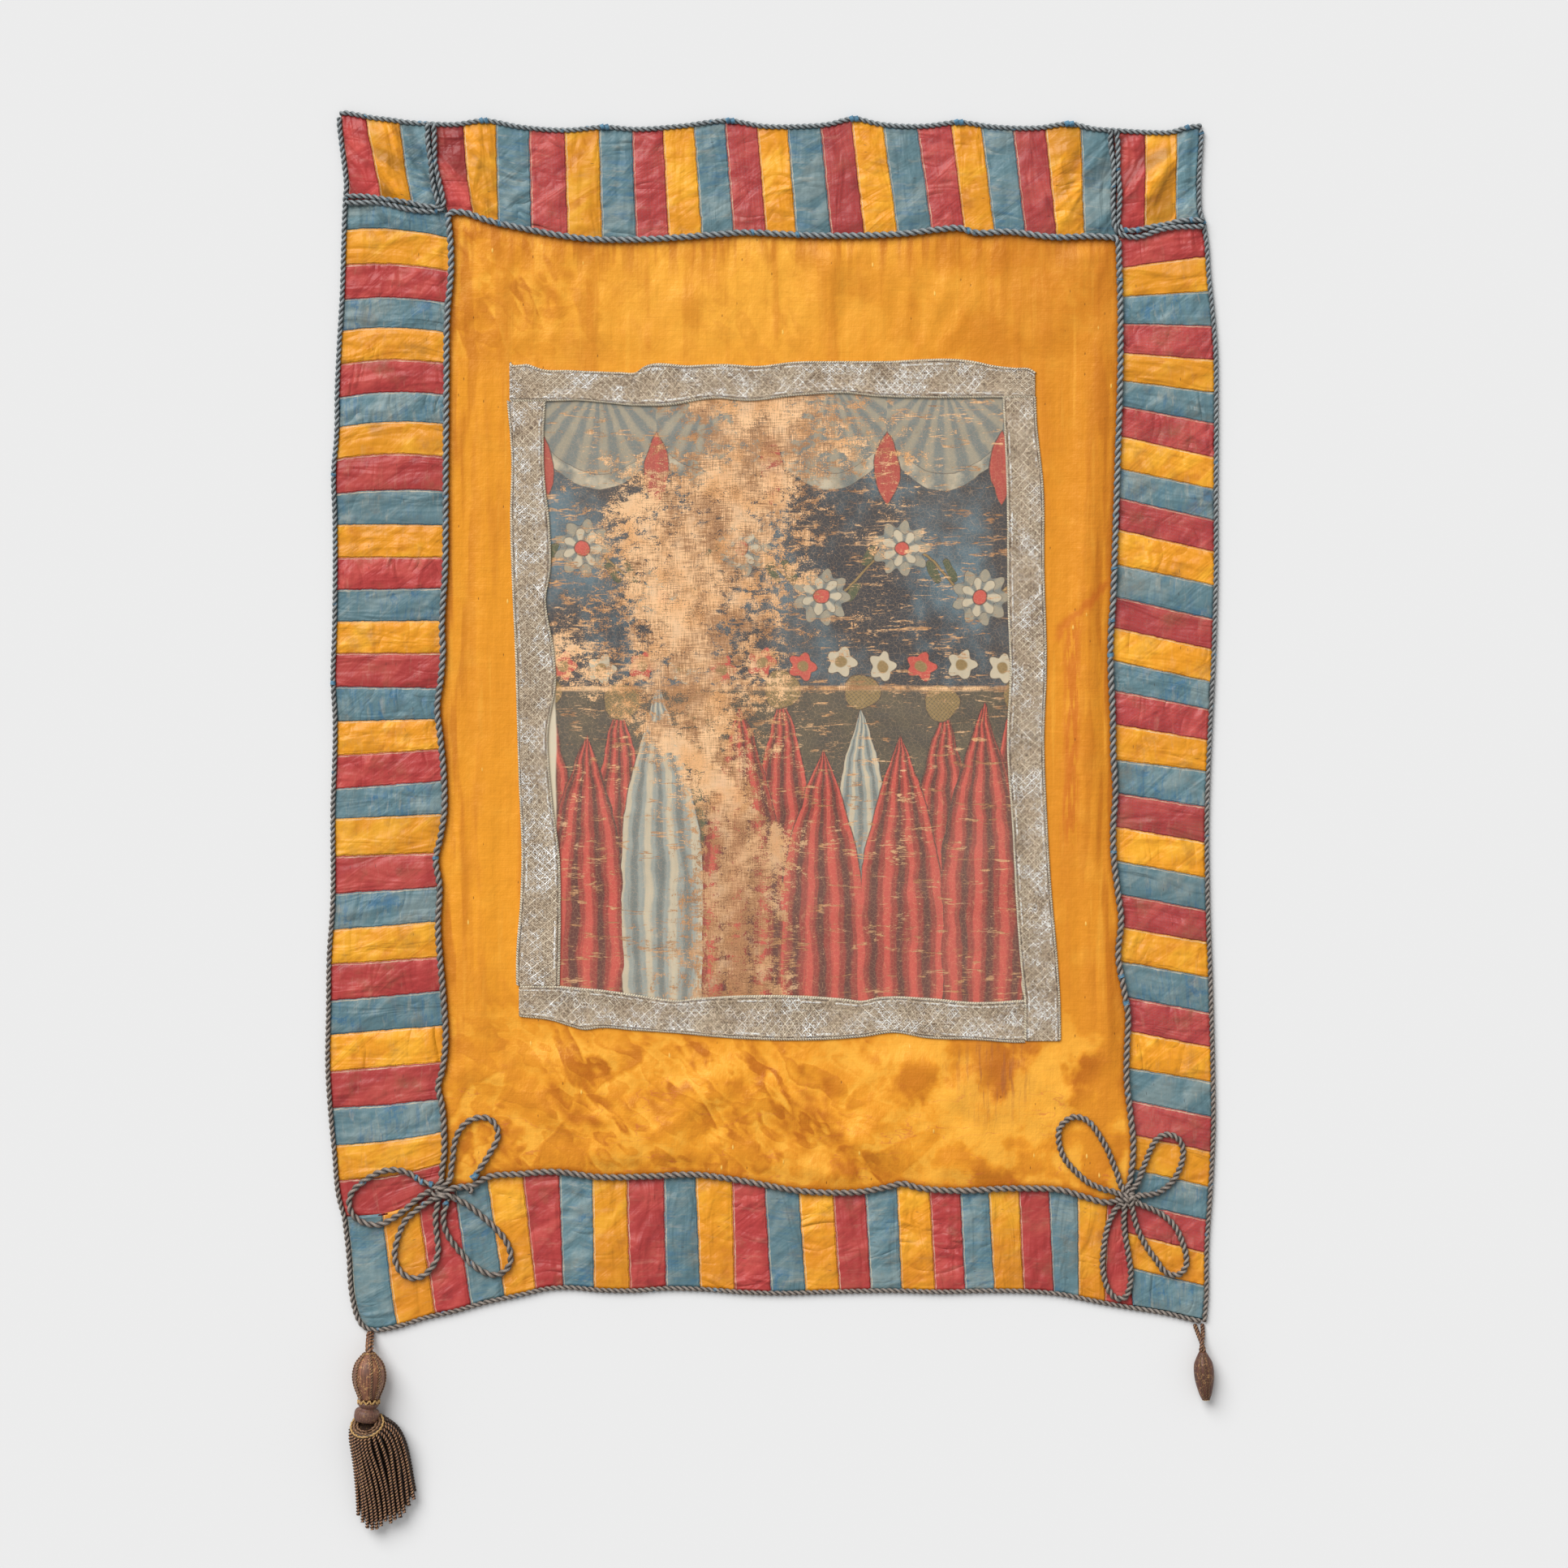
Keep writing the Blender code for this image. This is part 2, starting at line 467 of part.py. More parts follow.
def silk_panel(name, top, bottom, left, right, finish="pieced_silk", edges=(), shelves=()):
    """A silk panel between seams: it stops short of an edge's cord and lies flat by its shelves."""
    seam, edge = GAP / 2, EDGE_CORD / 2 + GAP
    widths = {side: edge if side in edges else seam for side in ("top", "bottom", "left", "right")}
    points = draw_in(patch(top, bottom, left, right), **widths)
    lift = np.zeros(points.shape[:2])
    lift[1:-1, 1:-1] = 1
    points, lift = with_shelves(points, lift, shelves)
    return sheet(name, points, lift * fold_height(points), SILK, finish)


def make_silk(line):
    silk_panel("field", line["field_top"], line["field_bottom"], line["field_left"], line["field_right"],
               "amber_silk", shelves=("top", "bottom", "left", "right"))
    silk_panel("corner_block_left", line["top_1"], line["block_left_across"], line["left_1"],
               line["block_left_down"], edges=("top", "left"), shelves=("bottom", "right"))
    silk_panel("corner_block_right", line["top_3"], line["block_right_across"], line["block_right_down"],
               line["right_1"], edges=("top", "right"), shelves=("bottom", "left"))
    silk_panel("border_top", line["top_2"], line["field_top"], line["block_left_down"],
               line["block_right_down"], edges=("top",), shelves=("bottom", "left", "right"))
    silk_panel("border_left", line["block_left_across"], line["diagonal"], line["left_2"],
               line["field_left"], edges=("left",), shelves=("top", "right"))
    silk_panel("border_right", line["block_right_across"], line["bottom_2"],
               joined(line["field_right"], line["right_foot"]), line["right_2"],
               edges=("right", "bottom"), shelves=("top", "left"))
    silk_panel("border_bottom", joined(line["diagonal"], line["field_bottom"]), line["bottom_1"],
               line["left_3"], line["right_foot"], edges=("left", "bottom"), shelves=("top",))


# Canvas and galloon

def make_canvas():
    c, side = OPENING_CORNERS, CANVAS_OPENING
    top = smooth((c["top_left"], *side["top"], c["top_right"]), 14)
    bottom = smooth((c["bottom_left"], *side["bottom"], c["bottom_right"]), 14)
    left = smooth((c["top_left"], *side["left"], c["bottom_left"]), 18)
    right = smooth((c["top_right"], *side["right"], c["bottom_right"]), 18)
    points = draw_in(patch(top, bottom, left, right), *[-CANVAS_UNDER] * 4)
    sheet("canvas", points, np.full(points.shape[:2], SILK + GAP), CANVAS, "painted_canvas")


def read_off(line, at, axis):
    """Points on a line at given x (axis 0) or y (axis 1), level with its ends beyond them."""
    fine = smooth(line, 60)
    fine = fine[np.argsort(fine[:, axis])]
    points = np.empty((len(at), 2))
    points[:, axis] = at
    points[:, 1 - axis] = np.interp(at, fine[:, axis], fine[:, 1 - axis])
    return points


def galloon_strip(side):
    """A strip that lies on the silk along its outer edge and steps up over the canvas's edge."""
    strip = GALLOON_STRIPS[side]
    axis = 0 if side in ("top", "bottom") else 1
    ends = ("top_left", "top_right") if side == "top" else ("bottom_left", "bottom_right")
    ends = ends if axis == 0 else ("top_" + side, "bottom_" + side)
    opening = [OPENING_CORNERS[corner][axis] for corner in ends]
    way = 1 if axis == 0 else -1
    start, finish = strip["from"], strip["to"]
    at, raised = [start], ["from" not in strip["down_at"]]
    if "from" in strip["down_at"]:
        at += [opening[0] - way * STEP_FOOT, opening[0] - way * STEP_TOP]
        raised += [False, True]
        start = opening[0]
    last = opening[1] if "to" in strip["down_at"] else finish
    inner_at = np.linspace(start, last, strip["steps"] + 1)[0 if len(at) > 1 else 1:]
    at += inner_at.tolist()
    raised += [True] * len(inner_at)
    if "to" in strip["down_at"]:
        at += [opening[1] + way * STEP_TOP, opening[1] + way * STEP_FOOT, finish]
        raised += [True, False, False]
    outer = read_off([GALLOON_CORNERS[ends[0]], *GALLOON_OUTSIDE[side], GALLOON_CORNERS[ends[1]]], at, axis)
    inner = read_off([OPENING_CORNERS[ends[0]], *CANVAS_OPENING[side], OPENING_CORNERS[ends[1]]], at, axis)
    width = np.linalg.norm(inner - outer, axis=1)
    shares = np.stack([0 * width, 1 - STEP_FOOT / width, 1 - STEP_TOP / width, 0 * width + 1])[..., None]
    height = SILK + GAP + (CANVAS + GAP) * np.outer((0, 0, 1, 1), raised)
    sheet("galloon_" + side, outer + (inner - outer) * shares, height, GALLOON, "galloon")


# Cords

def cord(name, route, diameter, finish="cord", lowest=0.0):
    """A six-sided cord along a route in plan, lying flat side down at a height, or along x, y, z."""
    if route.shape[1] == 2:
        rise = lowest + HEX * diameter / 2
        route = np.column_stack([route, np.full(len(route), rise)])
    curve = bpy.data.curves.new(name, "CURVE")
    curve.dimensions = "3D"
    curve.twist_mode = "Z_UP"
    curve.bevel_depth = diameter / 2 * MM
    curve.bevel_resolution = 1
    curve.use_fill_caps = True
    spline = curve.splines.new("POLY")
    spline.points.add(len(route) - 1)
    for point, at in zip(spline.points, in_metres(route)):
        point.co = (*at, 1)
    return place(bpy.data.objects.new(name, curve), finish)


def make_edge_cords(line):
    """The top cord covers the upper corners, and the left and right ones each cover a lower corner."""
    butt = EDGE_CORD / 2 + 3 * GAP
    bottom = joined(line["bottom_1"], line["bottom_2"])
    turn = trimmed(bottom, 0, length(bottom) - EDGE_CORD_TURN)
    cord("edge_cord_top", joined(line["top_1"], line["top_2"], line["top_3"]), EDGE_CORD)
    left = joined(line["left_1"], line["left_2"], line["left_3"], turn)
    cord("edge_cord_left", trimmed(left, butt, GAP / 2), EDGE_CORD)
    cord("edge_cord_right", trimmed(joined(line["right_1"], line["right_2"]), butt, 0), EDGE_CORD)
    cord("edge_cord_bottom", trimmed(bottom, EDGE_CORD_TURN + GAP / 2, butt), EDGE_CORD)


def make_field_cords(line):
    over = turn_corner(line["field_left"][::-1], line["field_top"], FIELD_CORD_BEND)
    over = turn_corner(over, line["field_right"], FIELD_CORD_BEND)
    at_knot = KNOT_SIZE["width"] / 2 + 1.6
    for name, route in (("field_cord", over), ("field_cord_bottom", line["field_bottom"])):
        cord(name, trimmed(route, at_knot, at_knot), FIELD_CORD, lowest=SILK + GAP)


def make_block_cords():
    at_edge = EDGE_CORD / 2 + GAP + 0.7
    for side, top_end, side_end, down, across in (
        ("left", "top_1", "left_1", BLOCK_LEFT_DOWN, BLOCK_LEFT_ACROSS[::-1]),
        ("right", "top_2", "right_1", BLOCK_RIGHT_DOWN, BLOCK_RIGHT_ACROSS),
    ):
        corner = BLOCK_CORD_CORNERS[side]
        middle = turn_corner(
            smooth((SEAM_ENDS[top_end], *down[:2], corner), 6),
            smooth((corner, *across, SEAM_ENDS[side_end]), 6),
            BLOCK_CORD_BENDS[side],
        )
        for number, offset in ((1, -0.5), (2, 0.5)):
            run = trimmed(middle + offset * PAIR_PITCH * insets(middle), at_edge, at_edge + 1.6)
            cord(f"block_cord_{side}_{number}", run, BLOCK_CORD, lowest=SILK + GAP)


def make_knots():
    for side, loops in (("left", LOOPS_LEFT), ("right", LOOPS_RIGHT)):
        knot = np.array(FIELD_CORNERS["bottom_" + side])
        lump = bmesh.new()
        bmesh.ops.create_uvsphere(lump, u_segments=12, v_segments=8, radius=0.5)
        size = (KNOT_SIZE["width"], KNOT_SIZE["depth"], KNOT_SIZE["height"])
        bmesh.ops.scale(lump, vec=[length * MM for length in size], verts=lump.verts)
        centre = in_metres([*knot, SILK + GAP + KNOT_SIZE["height"] / 2])
        bmesh.ops.translate(lump, vec=centre, verts=lump.verts)
        mesh = bpy.data.meshes.new("knot_" + side)
        lump.to_mesh(mesh)
        lump.free()
        mesh.shade_smooth()
        place(bpy.data.objects.new("knot_" + side, mesh), "cord")
        for name, points in loops.items():
            route = smooth(knot + np.array(points), round(1.35 * len(points)))
            cord(f"loop_{side}_{name}", route, LOOP_CORD, lowest=SILK + GAP)


# Tassels

def skin(name, rings, finish, hidden=False):
    """A closed solid over rings of points that all have the same number of points."""
    rings = np.asarray(rings, float)
    count, sides = rings.shape[:2]
    form = bmesh.new()
    rows = [[form.verts.new(point) for point in in_metres(ring)] for ring in rings]
    for above, below in zip(rows, rows[1:]):
        for i in range(sides):
            form.faces.new((above[i - 1], above[i], below[i], below[i - 1]))
    form.faces.new(rows[0])
    form.faces.new(rows[-1][::-1])
    bmesh.ops.recalc_face_normals(form, faces=form.faces)
    mesh = bpy.data.meshes.new(name)
    form.to_mesh(mesh)
    form.free()
    thing = bpy.data.objects.new(name, mesh)
    if not hidden:
        mesh.shade_smooth()
        mesh.set_sharp_from_angle(angle=math.radians(50))
        place(thing, finish)
    return thing


def turned(name, form, end_facing=None, sides=12):
    """A turned form with radii evenly along it from its top to its foot, which may face another way."""
    top, foot = np.array(form["top"]), np.array(form["foot"])
    facing = foot - top if end_facing is None else np.array((0, -1, 0))
    end_facing = facing if end_facing is None else end_facing
    angles = np.arange(sides) * 2 * math.pi / sides
    rings = []
    for share, radius in zip(np.linspace(0, 1, len(form["radii"])), form["radii"]):
        axis = facing * (1 - share) + end_facing * share
        level = np.cross(axis, (0, 0, 1))
        upright = np.cross(level, axis)
        level, upright = level / np.linalg.norm(level), upright / np.linalg.norm(upright)
        circle = np.outer(np.cos(angles), level) + np.outer(np.sin(angles), upright)
        rings.append(top + (foot - top) * share + radius * circle)
    return skin(name, rings, "tassel")


def strand(name, route, widths):
    """A four-sided strand along a route, its top and underside level."""
    along = np.gradient(route, axis=0)
    level = np.column_stack([along[:, 1], -along[:, 0], np.zeros(len(route))])
    level /= np.linalg.norm(level, axis=1)[:, None]
    along /= np.linalg.norm(along, axis=1)[:, None]
    upright = np.cross(level, along)
    half = np.array(widths)[:, None] / 2
    corners = [a * level + b * upright for a, b in ((1, 1), (1, -1), (-1, -1), (-1, 1))]
    return skin(name, route[:, None] + half[..., None] * np.stack(corners, axis=1), "tassel", hidden=True)


def ring_frame():
    """Centre of the skirt's ring, its level radius, its other radius and its axis towards the collar."""
    turn, tip = math.radians(RING["turn"]), math.radians(RING["tip"])
    level = np.array([math.cos(turn), math.sin(turn), 0])
    far = np.array([-math.sin(turn) * math.cos(tip), math.cos(turn) * math.cos(tip), -math.sin(tip)])
    return np.array([RING["x"], RING["y"], RING["z"]]), level, far, np.cross(level, far)


def skirt_routes():
    """Routes of the strands: an outer row round the ring, half of it underneath, and an inner row."""
    centre, level, far, _ = ring_frame()
    shares, heights = zip(*SKIRT_ENDS)
    half = SKIRT["end_half_width"]
    rest = SKIRT["end_width"] / 2

    def route(angle, radius, end_share, end_z, back):
        root = centre + radius * (math.cos(angle) * level + math.sin(angle) * far)
        end_x = SKIRT["end_x"] + half * (2 * end_share - 1)
        end = np.array([end_x, np.interp(end_share, shares, heights) + back, end_z])
        side = math.cos(angle)
        bulge = SKIRT["bulge_right"] * max(0, side) - SKIRT["bulge_left"] * max(0, -side)
        low = end_z < 2 * rest
        out = root + (bulge, -3 - 18 * (1 - abs(side)), 0.55 * (rest - root[2]) if low else 4)
        near_end = end + (-0.35 * bulge - 1, 46, 0 if low else 3)
        line = bezier((root, out, near_end, end), SKIRT["steps"])
        line[1:, 2] = np.maximum(line[1:, 2], rest)
        return line

    routes = []
    row = SKIRT["outer"] // 2
    for i in range(row):
        angle = math.pi * (i + 0.5) / row
        share = 1 - (i + 0.5) / row
        dome = math.sqrt(1 - (2 * share - 1) ** 2)
        routes.append(route(angle, RING["radius"] - 1, share, rest, 5))
        routes.append(route(-angle, RING["radius"] - 1, share, 3 * rest + 0.8 + 5.5 * dome, 0))
    for i in range(SKIRT["inner"]):
        share = 0.5 + 0.62 * (0.5 - (i + 0.5) / SKIRT["inner"])
        angle = math.pi * (i + 0.5) / SKIRT["inner"]
        routes.append(route(-angle, RING["radius"] * 0.45, share, 3 * rest + 0.5, 7))
    return routes


def make_skirt():
    centre, level, far, axis = ring_frame()
    angles = np.arange(16) * 2 * math.pi / 16
    circle = np.outer(np.cos(angles), level) + np.outer(np.sin(angles), far)
    rings = [
        centre + axis * RING["thickness"] * rise + circle * RING["radius"] * share
        for rise, share in ((0.5, 0.62), (0.5, 0.9), (0.15, 1.05), (-0.3, 1.05), (-0.5, 0.85), (-0.5, 0.5))
    ]
    ring = skin("tassel_skirt", rings, "tassel")
    strands = bpy.data.collections.new("strands")
    bpy.context.scene.collection.children.link(strands)
    widths = np.linspace(SKIRT["root_width"], SKIRT["end_width"], SKIRT["steps"] + 1)
    for number, route in enumerate(skirt_routes()):
        cutter = strand(f"strand_{number}", route, widths)
        cutter.hide_render = True
        cutter.display_type = "WIRE"
        strands.objects.link(cutter)
    fused = ring.modifiers.new("roots", "BOOLEAN")
    fused.operation = "UNION"
    fused.operand_type = "COLLECTION"
    fused.collection = strands
    fused.solver = "EXACT"


def make_tassels():
    cord("tassel_cord", np.array(TASSEL_CORD["route"]), TASSEL_CORD["diameter"], "tassel")
    turned("tassel_bulb", BULB)
    turned("tassel_collar", COLLAR, end_facing=-ring_frame()[3])
    make_skirt()
    for name, route in HEAD_CORDS.items():
        cord(name, np.array(route), HEAD_CORD, "tassel")
    turned("tassel_head", HEAD, sides=10)


def main():
    clear_scene()
    line = plan_lines()
    make_silk(line)
    make_canvas()
    for side in GALLOON_STRIPS:
        galloon_strip(side)
    make_edge_cords(line)
    make_field_cords(line)
    make_block_cords()
    make_knots()
    make_tassels()


main()
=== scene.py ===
# A silk battle flag laid face up: its pieces and their looks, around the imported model.
# Sizes are in millimetres on the flag's plan (x to the right, y to its top edge) unless a note says metres.
import math

import bpy
import numpy as np
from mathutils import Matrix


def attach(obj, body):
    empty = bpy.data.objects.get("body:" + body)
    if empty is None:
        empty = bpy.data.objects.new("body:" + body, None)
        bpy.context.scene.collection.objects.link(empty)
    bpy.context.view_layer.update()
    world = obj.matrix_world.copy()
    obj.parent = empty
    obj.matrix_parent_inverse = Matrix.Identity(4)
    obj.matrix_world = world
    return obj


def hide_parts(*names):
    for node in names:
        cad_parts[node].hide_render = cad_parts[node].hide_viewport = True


print("loading the packed flag")
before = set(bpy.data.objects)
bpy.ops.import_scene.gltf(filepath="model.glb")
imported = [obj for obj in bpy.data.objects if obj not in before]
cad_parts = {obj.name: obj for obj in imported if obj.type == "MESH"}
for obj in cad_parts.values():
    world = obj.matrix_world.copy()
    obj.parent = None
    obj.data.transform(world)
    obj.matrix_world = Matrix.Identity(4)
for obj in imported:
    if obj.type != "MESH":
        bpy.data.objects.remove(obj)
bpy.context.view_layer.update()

flag = {
    "middle": (0.0, -0.5),     # plan point under the middle of the whole flag
    "pixel": 0.86,             # mm a photo pixel
    "photoCorner": (-818.1, 868.4),     # plan point of the photo's top left corner
    "silk": 2.0,               # silk with its lining
    "gap": 0.3,
}


# what every piece uses

def fromPhoto(pixels, axis):     # photo pixels as plan mm; y runs the other way
    return flag["photoCorner"][axis] + (1 - 2 * axis) * flag["pixel"] * np.asarray(pixels, float)


def inMetres(points):
    return (np.asarray(points, float) - (*flag["middle"], 0)) * 0.001


def ease(x):     # 0 to 1 as 3x^2 - 2x^3
    x = np.clip(x, 0, 1)
    return x * x * (3 - 2 * x)


def unit(vectors):
    return vectors / np.linalg.norm(vectors, axis=1)[:, None]


def alongLine(line):     # distance of each point from the line's start
    return np.concatenate([[0], np.cumsum(np.linalg.norm(np.diff(line, axis=0), axis=1))])


def fromEnds(line):     # distance of each point from the nearer end
    distances = alongLine(line)
    return np.minimum(distances, distances[-1] - distances)


def readAt(line, at, distances=None):     # points of a line at distances along it
    distances = alongLine(line) if distances is None else distances
    return np.stack([np.interp(at, distances, column) for column in line.T], axis=-1)


def resample(line, count):
    distances = alongLine(line)
    return readAt(line, np.linspace(0, distances[-1], count), distances)


def throughPoints(*points, spacing=1.0):
    # A cubic between each two points whose slope at a point is that of the chord between its neighbours
    points = np.asarray(points, float)
    knots = alongLine(points)
    if len(points) == 2:
        return resample(points, max(2, int(knots[-1] / spacing)))
    slopes = np.gradient(points, knots, axis=0)
    at = np.linspace(0, knots[-1], max(2, int(knots[-1] / spacing)))
    span = np.clip(np.searchsorted(knots, at, side="right") - 1, 0, len(points) - 2)
    width = (knots[span + 1] - knots[span])[:, None]
    t = (at - knots[span])[:, None] / width
    return (
        (2 * t**3 - 3 * t**2 + 1) * points[span] + (t**3 - 2 * t**2 + t) * width * slopes[span]
        + (3 * t**2 - 2 * t**3) * points[span + 1] + (t**3 - t**2) * width * slopes[span + 1]
    )


def leftOf(line):     # unit steps to the left of a line's way
    way = unit(np.gradient(line, axis=0))
    return np.stack([-way[:, 1], way[:, 0]], axis=1)


def joined(*lines):
    return np.concatenate([lines[0], *(line[1:] for line in lines[1:])])


def cutEnds(line, atStart, atEnd):
    distances = alongLine(line)
    low, high = atStart, distances[-1] - atEnd
    kept = line[(distances > low + 0.5) & (distances < high - 0.5)]
    return np.concatenate([readAt(line, [low], distances), kept, readAt(line, [high], distances)])


def bend(a, b, c, d, count):     # a cubic Bezier curve
    t = np.linspace(0, 1, count)[:, None]
    a, b, c, d = (np.asarray(p, float) for p in (a, b, c, d))
    return (1 - t) ** 3 * a + 3 * t * (1 - t) ** 2 * b + 3 * t**2 * (1 - t) * c + t**3 * d


def turnCorner(first, second, size):
    corner, roundness, points = first[-1], 0.55, 10
    first, second = cutEnds(first, 0, size), cutEnds(second, size, 0)
    handles = [end + roundness * (corner - end) for end in (first[-1], second[0])]
    return joined(first, bend(first[-1], *handles, second[0], points), second)


def softNoise(x, y, cell, seed):
    # A slope of its own in each corner of a square lattice; between them the four slopes' heights
    # blended by 6t^5 - 15t^4 + 10t^3. It runs from about -1 to 1.
    size, shift = 128, 400     # corners a side before the lattice repeats, and where the plan lies on it
    turns = np.random.default_rng(seed).uniform(0, 2 * math.pi, (size, size))
    gx, gy = np.broadcast_arrays(np.asarray(x, float) / cell + shift, np.asarray(y, float) / cell + shift)
    ix, iy = np.floor(gx).astype(int), np.floor(gy).astype(int)
    fx, fy = gx - ix, gy - iy
    height = 0.0
    for stepX in (0, 1):
        for stepY in (0, 1):
            turn = turns[(ix + stepX) % size, (iy + stepY) % size]
            near = (1 - np.abs(fx - stepX)), (1 - np.abs(fy - stepY))
            blend = [n**3 * (n * (6 * n - 15) + 10) for n in near]
            height = height + blend[0] * blend[1] * (np.cos(turn) * (fx - stepX) + np.sin(turn) * (fy - stepY))
    return 1.6 * height


def turnedPlace(x, y, degrees):     # how far a place lies along a direction, and across it
    c, s = math.cos(math.radians(degrees)), math.sin(math.radians(degrees))
    return x * c + y * s, y * c - x * s


def longNoise(x, y, length, width, degrees, seed):     # soft noise drawn out along a direction
    along, across = turnedPlace(x, y, degrees)
    return softNoise(along / length, across / width, 1, seed)


def addObject(name, data):
    made = bpy.data.objects.new(name, data)
    bpy.context.scene.collection.objects.link(made)
    return made


def putMesh(name, parts, finish, nodes):
    # Each part has vertices in plan mm, faces, one pair of texture places a face corner, and named values
    # a vertex. Parts are joined into one object that stands for the nodes named.
    vertices = np.concatenate([part["vertices"] for part in parts])
    faces, start = [], 0
    for part in parts:
        for block in part["faces"]:     # arrays with a face in each row
            faces += (block + start).tolist()
        start += len(part["vertices"])
    mesh = bpy.data.meshes.new(name)
    mesh.from_pydata(inMetres(vertices).tolist(), [], faces)
    corners = np.concatenate([part["corners"] for part in parts])
    mesh.uv_layers.new(name="along").data.foreach_set("uv", corners.astype(np.float32).ravel())
    for key in parts[0]["values"]:
        values = np.concatenate([part["values"][key] for part in parts])
        mesh.attributes.new(key, "FLOAT", "POINT").data.foreach_set("value", values.astype(np.float32))
    mesh.polygons.foreach_set("use_smooth", np.full(len(faces), True))
    mesh.update()
    piece = addObject(name, mesh)
    mesh.materials.append(finish)
    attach(piece, "root")
    if nodes:
        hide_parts(*nodes)
    return piece


def gridFaces(rows, columns, around):
    # The quads of a grid of points, whose last column meets its first where it goes around
    at = np.arange(rows * columns).reshape(rows, columns)
    if around:
        at = np.concatenate([at, at[:, :1]], axis=1)
    return np.stack([at[:-1, :-1], at[:-1, 1:], at[1:, 1:], at[1:, :-1]], axis=-1).reshape(-1, 4)


def closedSheet(plan, under, over, places, values=None):
    # Two layers over one grid in plan, its top face and its underside, and a rim all round
    values = values or {}
    rows, columns = under.shape
    across, down = plan[0, -1] - plan[0, 0], plan[-1, 0] - plan[0, 0]
    if across[0] * down[1] < across[1] * down[0]:
        plan, under, over, places = plan[::-1], under[::-1], over[::-1], places[::-1]
        values = {key: value[::-1] for key, value in values.items()}
    count = rows * columns
    top = gridFaces(rows, columns, False)
    at = np.arange(count).reshape(rows, columns)
    ring = np.concatenate([at[0, :-1], at[:-1, -1], at[-1, :0:-1], at[:0:-1, 0]])
    onward = np.roll(ring, -1)
    rim = np.stack([ring + count, onward + count, onward, ring], axis=1)
    faces = np.concatenate([top, top[:, ::-1] + count, rim])
    layers = [np.dstack([plan, z]).reshape(-1, 3) for z in (over, under)]
    flat = np.concatenate([places.reshape(-1, 2)] * 2)
    return {
        "vertices": np.concatenate(layers),
        "faces": [faces],
        "corners": flat[faces.ravel()],
        "values": {key: np.concatenate([value.ravel()] * 2) for key, value in values.items()},
    }


def sweptForm(rings, lengthwise, groove=0.0):
    # A closed form over rings of points, with a flat end at each end
    rows, around = rings.shape[:2]
    faces = gridFaces(rows, around, True)
    lap = np.arange(rows * around).reshape(rows, around)
    place = np.empty((len(faces), 4, 2))
    v = np.linspace(0, 1, around + 1)
    low, high = lengthwise[:-1], lengthwise[1:]
    place[..., 0] = np.stack([low, low, high, high], -1).repeat(around, 0)
    place[..., 1] = np.tile(np.stack([v[:-1], v[1:], v[1:], v[:-1]], -1), (rows - 1, 1))
    ends = np.zeros((2 * around, 2))
    return {
        "vertices": rings.reshape(-1, 3),
        "faces": [faces[:, ::-1], lap[:1], lap[-1:, ::-1]],
        "corners": np.concatenate([place[:, ::-1].reshape(-1, 2), ends]),
        "values": {"groove": np.broadcast_to(groove, (rows, around)).ravel()},
    }


def ringsAlong(route, sides, ups, radii, angles):
    # Points round a route: the route plus radius times cosine to its side and sine to its upper side
    cosine, sine = np.cos(angles)[..., None], np.sin(angles)[..., None]
    return route[:, None] + radii[..., None] * cosine * sides[:, None] + radii[..., None] * sine * ups[:, None]


def routeFrame(route):
    way = unit(np.gradient(route, axis=0))
    sides = unit(np.cross(way, (0, 0, 1)))
    return sides, np.cross(sides, way)


twist = {
    "plyShare": {2: 0.285, 3: 0.27},     # a ply's radius, for two plies and for three, in diameters
    "tipReach": 0.35,                    # a cord narrows over this many diameters
}


def twistedCord(route, diameter, pitch, plies=2, around=12, stepsPerPly=5, phase=0.0, tip=0.35, beside=0.0, under=0.0):
    # Plies as circles round the middle of the cord: the radius at an angle from a ply's own is
    # c cos(a) + sqrt(r^2 - c^2 sin^2(a)), and the whole outline turns by a ply's share each pitch.
    length = alongLine(route)[-1]
    route = resample(route, max(4, int(length / pitch * stepsPerPly)))
    at = alongLine(route)
    sides, ups = routeFrame(route)
    angles = np.arange(around) * 2 * math.pi / around
    fromPly = (angles + math.pi / plies) % (2 * math.pi / plies) - math.pi / plies
    ply = twist["plyShare"][plies] * diameter
    reach = diameter / 2 - ply
    outline = reach * np.cos(fromPly) + np.sqrt(np.maximum(0.03 * ply**2, ply**2 - (reach * np.sin(fromPly)) ** 2))
    taper = np.sqrt(np.clip(tip + fromEnds(route) / (twist["tipReach"] * diameter), 0, 1))
    turned = angles[None] - at[:, None] / pitch * 2 * math.pi / plies + phase
    rings = ringsAlong(route, sides, ups, taper[:, None] * outline[None], turned)
    groove = (np.abs(fromPly) / (math.pi / plies)) ** 1.5
    # painted shade: the grooves between the plies are dark, strands that lie close have dark sides as well, and those
    # beneath others are dark all round
    groove = np.maximum(np.maximum(groove[None], under), beside * np.abs(np.cos(turned)) ** 2)
    return sweptForm(rings, at / (plies * pitch), groove)


# numbers and colours in materials

